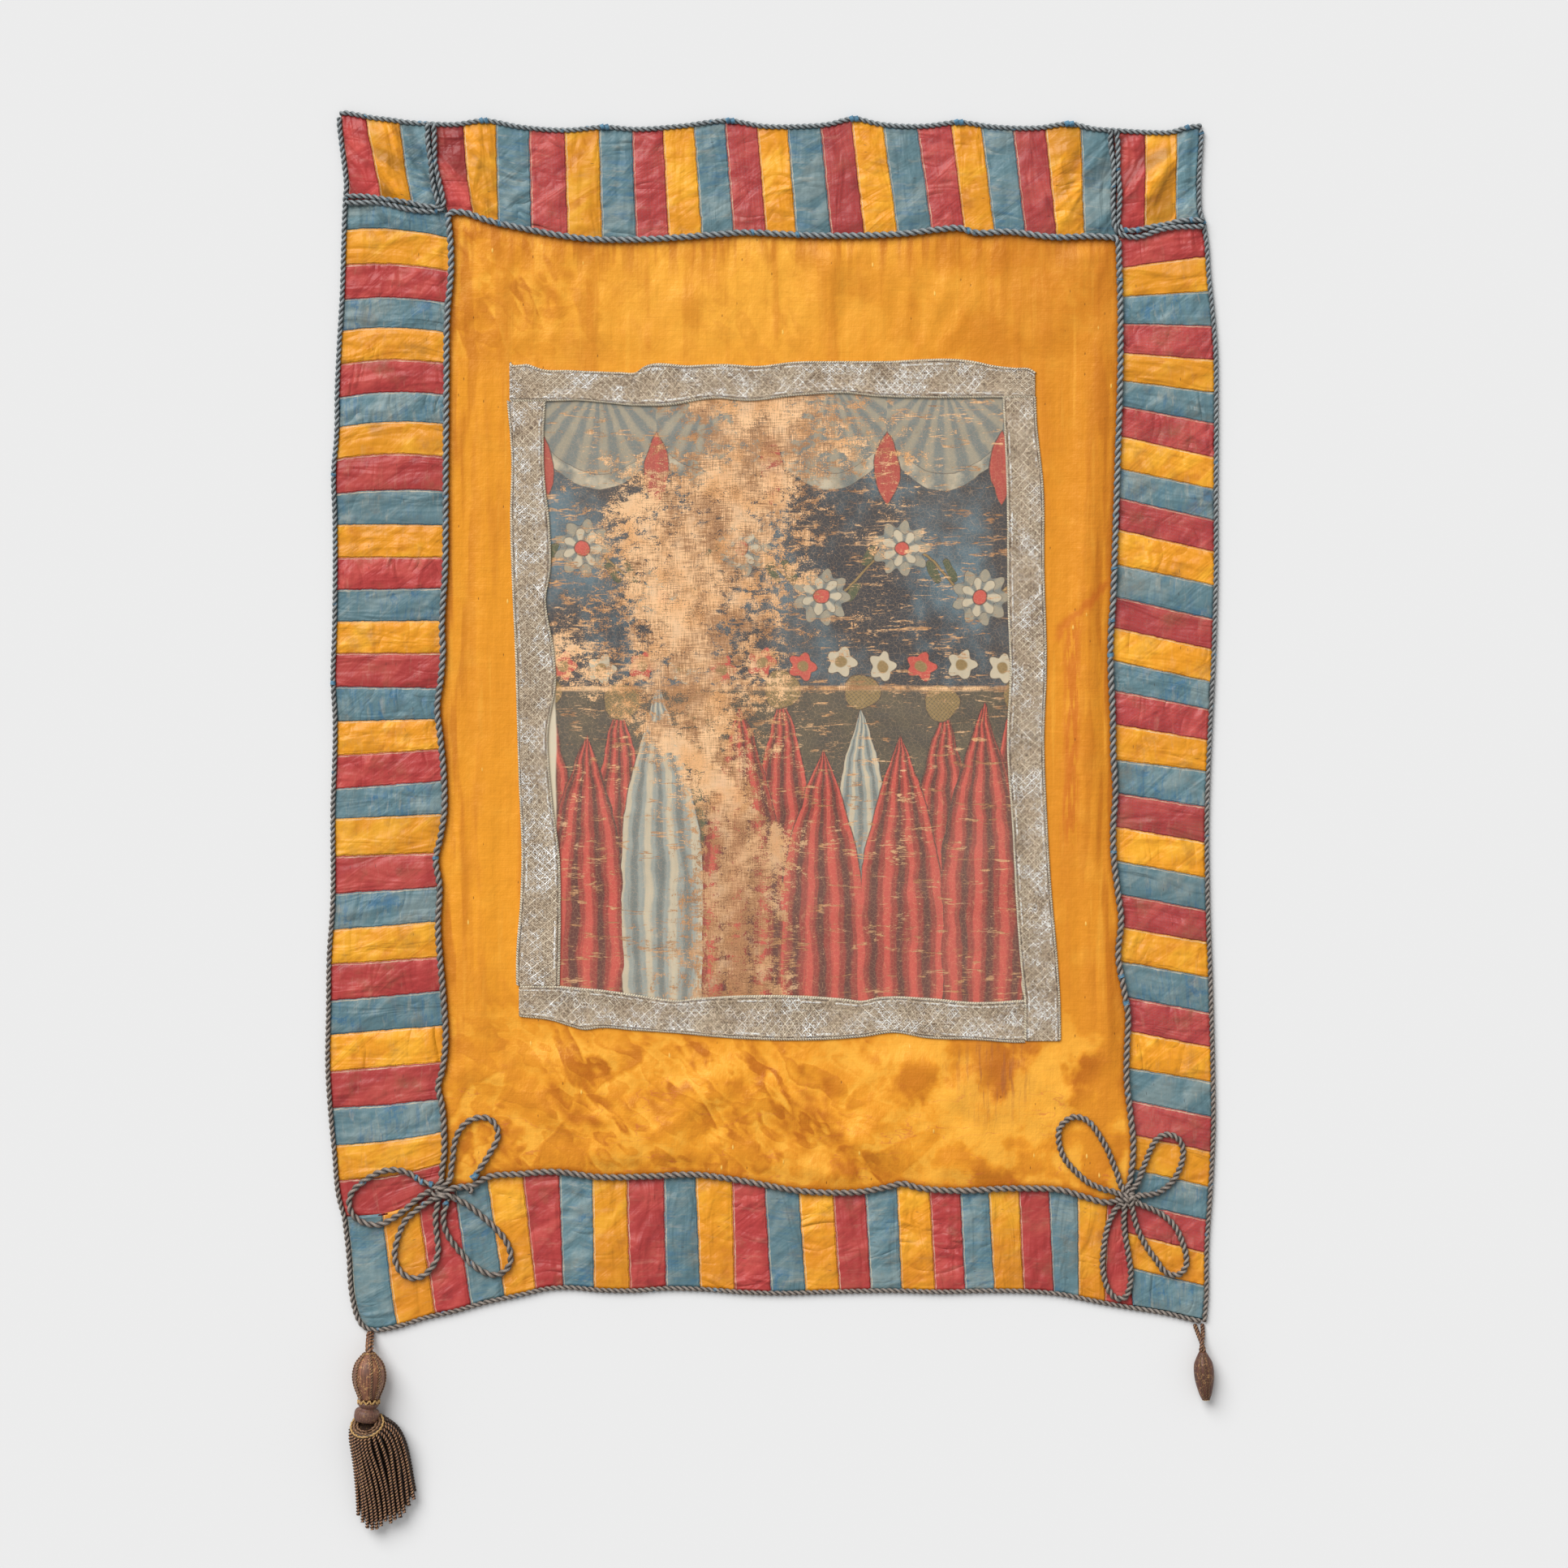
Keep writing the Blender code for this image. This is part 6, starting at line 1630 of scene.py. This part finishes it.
def wrapped(route, at, diameter, turns, slant):
    # A sleeve of thread turns round a cord: its radius swells by half a thread at each turn
    thread, around, perTurn = repairs["thread"], 12, 4
    length = turns * thread * 1.15
    distances = alongLine(route)
    places = np.linspace(at - length / 2, at + length / 2, turns * perTurn + 1)
    axis = readAt(route, np.clip(places, 0.2, distances[-1] - 0.2), distances)
    axis = axis + np.linspace(-1e-3, 1e-3, len(axis))[:, None] * readAt(route, [min(at + 1, distances[-1])], distances)
    axis[:, 2] = np.maximum(axis[:, 2], diameter / 2 + 0.62 * thread + 0.05)
    sides, ups = routeFrame(axis)
    angles = np.arange(around) * 2 * math.pi / around
    share = np.linspace(0, turns, len(places))
    # the plies show between the turns, because the sleeve is thinner than the cord's crests
    swell = np.abs(np.sin(math.pi * (share[:, None] + slant * np.cos(angles))))
    radius = diameter * 0.41 + thread * (0.15 + 0.5 * swell)
    radius[[0, -1]] = diameter * 0.30
    rings = ringsAlong(axis, sides, ups, radius, angles)
    # the groove value is high between the turns, for painted shade there
    return sweptForm(rings, share / turns, 1 - np.abs(np.sin(math.pi * share))[:, None])


def makeRepairs(routes):
    s, parts, ties = repairs, [], []
    dice = np.random.default_rng(5)
    for pixels in s["places"]:
        here = np.array([fromPhoto(value, axis) for axis, value in enumerate(pixels)])
        away = {name: np.linalg.norm(route[:, :2] - here, axis=1) for name, (route, _, _) in routes.items()}
        name = min(away, key=lambda key: away[key].min())
        route, diameter, _ = routes[name]
        at = alongLine(route)[away[name].argmin()]
        parts.append(wrapped(route, at, diameter, int(dice.integers(*s["turns"])), dice.uniform(-0.5, 0.5)))
    top, diameter, _ = routes["edge_cord_top"]
    for x in s["tiesX"]:
        at = np.interp(x, top[:, 0], alongLine(top))
        ties += [wrapped(top, at + shift, diameter + 0.9, s["tieTurns"], dice.uniform(-0.8, 0.8))
                 for shift in s["tieShifts"]]
    finish = blueThread()
    putMesh("blue_repairs", parts, finish, [])
    putMesh("blue_ties", ties, finish, [])


def blueThread():
    look, graph = repairs, Graph("blue_thread")
    place = graph.place()
    own = graph.step(graph.noise(place, 220.0), 0.42, 0.62)
    # darker between the turns as painted shade, and darker in random patches
    colour = graph.mix(graph.most(graph.value("groove") * 0.85, own * 0.75), look["colour"], look["shade"])
    return graph.put(Base_Color=colour, Roughness=0.6, Normal=graph.bump(graph.noise(place, 1500.0), 0.0003, 0.4))


# tassels

tasselCord = {"diameter": 9.2, "pitch": 4.6,
              "route": ((-425.3, -541.6, 4.7), (-425.3, -546.5, 5.2), (-425.2, -550.5, 7.6),
                        (-425.1, -554.5, 12.2), (-425, -558.5, 16.0), (-425, -562.2, 16.9), (-425, -566, 16.9))}
bulb = {"top": (-425, -562.4, 16.9), "foot": (-425.6, -612.4, 16.9),
        "radii": (4.4, 9.4, 13.6, 15.6, 16.6, 16.6, 15.7, 13.9, 11.5, 9.6),
        "ropes": (0, 43, 104, 135, 180, 225, 270, 315), "rope": 3.0, "ropePitch": 3.0, "roped": (0.02, 0.98)}
collar = {"top": (-425.8, -612.8, 16.9), "foot": (-428.6, -634.4, 13.6),
          "radii": (9.0, 11.4, 10.6, 9.0, 12.2, 13.3, 13.5, 13.4, 12.4)}
skirtRing = {
    "centre": (-426.8, -639.6, 17.2), "radius": 18.0, "thickness": 4.6, "turn": 15.6, "tip": 50.0,
    # its outline: rise over its thickness, share of its radius, from the hole over the rim and back below
    "outline": ((-0.2, 0.40), (0.40, 0.60), (0.52, 0.78), (0.45, 0.94), (0.1, 1.0), (-0.35, 0.98), (-0.5, 0.8),
                (-0.5, 0.4)),
    "around": 48,
    "wovenShares": (0.78, 0.58), "woven": (3.4, 5.4),     # shares of its radius; the cords' diameter and pitch
}
skirt = {"outer": 26, "inner": 8, "strand": 5.0, "pitch": 3.3, "endX": -408.0, "endHalfWidth": 32.0,
         "bulgeLeft": 6.0, "bulgeRight": 22.0, "points": 60,
         # ends of the strands across the skirt: share of its width from the left, y
         "ends": ((0.0, -736), (0.1, -744), (0.2, -751.5), (0.33, -751.5), (0.45, -745), (0.55, -744),
                  (0.7, -741), (0.8, -734), (0.9, -724), (1.0, -717))}
headCords = {"diameter": 4.8, "pitch": 3.6, "routes": {
    "head_cord_1": ((447.3, -534.3, 2.5), (449.8, -541, 2.7), (452.4, -548, 6.2), (454.4, -555, 10.2),
                    (453.4, -561, 10.9), (453.6, -566, 10.7)),
    "head_cord_2": ((455.4, -533.8, 2.5), (456.1, -541, 2.5), (456.0, -548, 4.4), (455.2, -555, 8.4),
                    (456.6, -561, 10.5), (456.4, -566, 10.7))}}
head = {"top": (454.9, -562.9, 10.7), "foot": (458.9, -613.7, 10.7),
        "radii": (4.0, 7.0, 9.6, 10.5, 10.6, 10.2, 9.2, 7.9, 6.3, 3.8),
        "ropes": (66, 92, 114), "rope": 1.9, "ropePitch": 3.0, "roped": (0.05, 0.97)}
goldRounds = (     # centre, radius, diameter, pitch and the swing of a zigzag
    ((-425, -563.6, 16.9), 5.6, 1.7, 2.0, 0.0),
    ((-425.7, -614.3, 16.9), 11.3, 2.3, 2.8, 4.6),
    ((458.9, -613.2, 10.7), 3.6, 1.6, 1.9, 0.0),
)
tasselLooks = {
    # light and dark tone, share of gold glints, threads laid round the form or 0 for a twist,
    # how dark the painted shade in its hollows is and how shallow it starts
    "rope": (tone(160, 110, 78), tone(88, 56, 40), 1.0, 0.0, 0.95, 0.30),
    "strand": (tone(206, 150, 108), tone(100, 66, 48), 1.0, 0.0, 0.95, 0.14),
    "braid": (tone(160, 118, 84), tone(84, 54, 40), 1.0, 0.0, 0.9, 0.30),
    "gold": (tone(246, 202, 126), tone(148, 102, 56), 0.8, 0.0, 0.95, 0.30),
    "wrap": (tone(148, 96, 70), tone(64, 34, 24), 0.8, 16.0, 0.95, 0.30),
    "head_wrap": (tone(108, 66, 50), tone(56, 30, 24), 0.6, 14.0, 0.95, 0.30),
    "felt": (tone(118, 80, 66), tone(72, 46, 38), 0.3, 24.0, 0.95, 0.30),
    "hollow": (tone(72, 50, 38), tone(36, 24, 20), 0.3, 10.0, 0.95, 0.30),
}
tasselTones = {"groove": tone(30, 18, 14), "glint": tone(214, 168, 108)}


def turnedForm(form, rows=48, around=40):
    # Radii along a line from its top to its foot
    top, foot = np.array(form["top"], float), np.array(form["foot"], float)
    share = np.linspace(0, 1, rows)
    reach = 60     # length over which the radii's curve is drawn
    profile = throughPoints(*zip(np.linspace(0, reach, len(form["radii"])), form["radii"]), spacing=0.4)
    radius = np.interp(share * reach, *profile.T)[:, None]
    level = unit(np.cross([foot - top], (0, 0, 1)))
    upright = unit(np.cross(level, foot - top))
    middle = top + (foot - top) * share[:, None]
    rings = ringsAlong(middle, level, upright, radius, np.arange(around) * 2 * math.pi / around)
    return sweptForm(rings, share), (middle, level, upright, radius)


def ropesOver(shape, form):
    middle, level, upright, radius = shape
    first, last = (int(share * len(middle)) for share in form["roped"])
    diameter, ropes = form["rope"], []
    for number, angle in enumerate(np.radians(form["ropes"])):
        route = middle + (radius + 0.1 * diameter) * (math.cos(angle) * level + math.sin(angle) * upright)
        route = route[first:last]
        route[:, 2] = np.maximum(route[:, 2], 0.55 * diameter)
        ropes.append(twistedCord(route, diameter, form["ropePitch"], around=8, stepsPerPly=3, phase=number))
    return ropes


def roundCord(centre, first, second, radius, diameter, pitch, swing=0.0):
    # A cord round a circle in the plane of two directions; it may swing to both sides of it in a zigzag
    gap, points, zigzags = 0.02, 160, 1.75
    t = np.linspace(gap, 2 * math.pi - gap, points) - math.pi / 2
    side = 2 * np.abs((t * zigzags) % 1.0 - 0.5) - 0.5
    route = np.asarray(centre) + radius * (np.cos(t)[:, None] * first + np.sin(t)[:, None] * second)
    route = route + swing * side[:, None] * np.cross(first, second)
    return twistedCord(route, diameter, pitch, around=6, stepsPerPly=3)


def ringFrame():
    turn, tip = math.radians(skirtRing["turn"]), math.radians(skirtRing["tip"])
    level = np.array([math.cos(turn), math.sin(turn), 0])
    far = np.array([-math.sin(turn) * math.cos(tip), math.cos(turn) * math.cos(tip), -math.sin(tip)])
    return np.array(skirtRing["centre"]), level, far, np.cross(level, far)


def skirtRoutes():
    # An outer row round the ring, half of it underneath, and an inner row
    centre, level, far, _ = ringFrame()
    shares, heights = zip(*skirt["ends"])
    rest, points = skirt["strand"] / 2 + 0.05, skirt["points"]
    dice = np.random.default_rng(17)

    def route(angle, radius, share, endZ, back):
        root = centre + radius * (math.cos(angle) * level + math.sin(angle) * far)
        endX = skirt["endX"] + skirt["endHalfWidth"] * (2 * share - 1)
        end = np.array([endX, np.interp(share, shares, heights) + back + dice.uniform(0, 4), endZ])
        side = math.cos(angle)
        bulge = skirt["bulgeRight"] * max(0, side) - skirt["bulgeLeft"] * max(0, -side)
        low = endZ < 2 * rest
        out = root + (bulge, -3 - 18 * (1 - abs(side)), 0.55 * (rest - root[2]) if low else 4)
        nearEnd = end + (-0.35 * bulge - 1, 46, 0 if low else 3)
        curve = bend(root, out, nearEnd, end, points)
        curve[:, 0] += dice.uniform(0.2, 0.6) * np.sin(np.linspace(0, dice.uniform(6, 11), points) + dice.uniform(0, 6))
        curve[3:, 2] = np.maximum(curve[3:, 2], rest)
        return curve

    routes, row = [], skirt["outer"] // 2
    for i in range(row):
        angle = math.pi * (i + 0.5) / row
        share = 1 - (i + 0.5) / row
        dome = math.sqrt(1 - (2 * share - 1) ** 2)
        routes.append(route(angle, skirtRing["radius"] - 1, share, rest, 5))
        routes.append(route(-angle, skirtRing["radius"] - 1, share, 3 * rest + 0.4 + 5.0 * dome, 0))
    for i in range(skirt["inner"]):
        share = 0.5 + 0.62 * (0.5 - (i + 0.5) / skirt["inner"])
        angle = math.pi * (i + 0.5) / skirt["inner"]
        routes.append(route(-angle, skirtRing["radius"] * 0.5, share, 3 * rest + 0.3, 7))
    return routes


def makeTassels():
    finishes = {name: tasselSilk("tassel_" + name, *look) for name, look in tasselLooks.items()}

    def put(name, parts, look, *nodes):
        putMesh("tassel_" + name, parts, finishes[look], nodes)

    put("hanging_cord", [twistedCord(throughPoints(*tasselCord["route"]), tasselCord["diameter"],
                                     tasselCord["pitch"], plies=3)], "rope", "tassel_cord")
    body, shape = turnedForm(bulb)
    put("bulb_wrap", [body], "wrap", "tassel_bulb")
    put("bulb_ropes", ropesOver(shape, bulb), "braid")
    put("collar_felt", [turnedForm(collar)[0]], "felt", "tassel_collar")
    centre, level, far, axis = ringFrame()
    ring, thickness = skirtRing["radius"], skirtRing["thickness"]
    angles = np.arange(skirtRing["around"]) * 2 * math.pi / skirtRing["around"]
    circle = np.outer(np.cos(angles), level) + np.outer(np.sin(angles), far)
    rings = np.stack([centre + axis * thickness * rise + circle * ring * share
                      for rise, share in skirtRing["outline"]])
    # the strands get painted shade at their sides, and those under the upper row are painted dark all round as shade
    strands = [twistedCord(curve, skirt["strand"], skirt["pitch"], around=8, stepsPerPly=4, phase=1.7 * number,
                           tip=0.85, beside=1.0, under=0.0 if number < skirt["outer"] and number % 2 else 0.62)
               for number, curve in enumerate(skirtRoutes())]
    put("skirt_strands", strands, "strand", "tassel_skirt")
    put("skirt_band", [sweptForm(rings[:, ::-1], np.linspace(0, 1, len(rings)))], "hollow")
    rim = centre + axis * thickness * 0.5
    put("skirt_braid", [roundCord(rim + axis * 0.5, level, far, ring * share, *skirtRing["woven"])
                        for share in skirtRing["wovenShares"]], "braid")
    for name, points in headCords["routes"].items():
        # painted shade at the head cords' sides
        cord = twistedCord(throughPoints(*points), headCords["diameter"], headCords["pitch"], plies=3, beside=0.7)
        put(name, [cord], "rope", name)
    body, shape = turnedForm(head)
    put("head_form", [body], "head_wrap", "tassel_head")
    put("head_ropes", ropesOver(shape, head), "braid")
    across, up = np.array([1.0, 0, 0]), np.array([0, 0, 1.0])
    golden = [roundCord(middle, across, up, *sizes) for middle, *sizes in goldRounds]
    golden.insert(2, roundCord(rim - axis * 0.2, level, far, ring * 0.98, 3.0, 5.0))
    put("gold_threads", golden, "gold")


def tasselSilk(name, light, dark, glints, threads, hollow, shallow):
    graph = Graph(name)
    place = graph.place()
    lengthwise, round_, _ = graph.parts(graph.cloth())
    deep = graph.value("groove")
    cloud = graph.noise(place, 70.0, 3.0, 0.6)
    colour = graph.mix(graph.step(cloud, 0.40, 0.80) * 0.45, light, dark)
    if threads:
        lines = graph.noise(graph.point(lengthwise * 1.5, round_ * threads * 3.0), 1.0, 3.0, 0.6)
    else:
        lines = 0.5 + 0.5 * graph.wave((round_ - lengthwise) * (2 * math.pi * 8.0))
    colour = graph.mix(graph.step(lines, 0.38, 0.62) * 0.8 + 0.2, dark, colour)
    region = graph.step(graph.noise(place, 120.0), 0.38, 0.58)
    spark = graph.step(graph.noise(place, 520.0, 2.0, 0.7), 0.53, 0.62) * region * glints * (1.0 - deep)
    colour = graph.coats(
        tasselTones, colour,
        # painted shade in the hollows
        (graph.step(deep, shallow, shallow + 0.55) * hollow, "groove"),
        (spark * 0.8, "glint"),
    )
    return graph.put(Base_Color=graph.shade(colour, 0.88 + 0.26 * cloud), Roughness=0.55 - 0.2 * spark,
                     Normal=graph.bump(lines + 0.4 * graph.noise(place, 1300.0), 0.0004, 0.5))


# floor, camera and light

studio = {
    "floorSize": 60.0,
    "floorColour": 0.82,
    "cameraMiddle": (0.01266, 0.03814),
    "cameraHeight": 4.615,
    "lens": 100.0,
    "sensor": 36.0,
    "seenTo": 50.0,
    "worldStrength": 0.46,
    "sunStrength": 2.66,
    "sunAngle": 44.0,
    "sunTilt": (-38.0, -32.0),     # about x and y, in degrees: it comes from the upper left
}


def makeStudio():
    s, scene = studio, bpy.context.scene
    half = s["floorSize"] / 2
    mesh = bpy.data.meshes.new("floor")
    mesh.from_pydata([(-half, -half, 0), (half, -half, 0), (half, half, 0), (-half, half, 0)], [], [(0, 1, 2, 3)])
    mesh.materials.append(Graph("pale_floor").put(
        Base_Color=(s["floorColour"],) * 3, Roughness=0.95, Specular_IOR_Level=0.0))
    addObject("floor", mesh)

    camera = bpy.data.cameras.new("camera")
    camera.lens, camera.sensor_width, camera.clip_end = s["lens"], s["sensor"], s["seenTo"]
    scene.camera = addObject("camera", camera)
    scene.camera.location = (*s["cameraMiddle"], s["cameraHeight"])

    light = bpy.data.lights.new("sun", "SUN")
    light.energy, light.angle = s["sunStrength"], math.radians(s["sunAngle"])
    addObject("sun", light).rotation_euler = [math.radians(angle) for angle in (*s["sunTilt"], 0.0)]

    scene.world = bpy.data.worlds.new("studio")
    scene.world.use_nodes = True
    background = scene.world.node_tree.nodes["Background"].inputs
    background["Color"].default_value = (1.0, 1.0, 1.0, 1.0)
    background["Strength"].default_value = s["worldStrength"]
    scene.view_settings.view_transform, scene.view_settings.look = "Standard", "None"


print("laying the field's silk")
makeField()
print("piecing the borders")
makeBorders()
print("painting the canvas")
makeCanvas()
print("sewing on the galloon")
makeGalloon()
print("twisting the cords")
routes = cordRoutes()
makeCords(routes)
print("adding ties and repairs")
makeRepairs(routes)
print("hanging the tassels")
makeTassels()
print("setting the floor, camera and light")
makeStudio()
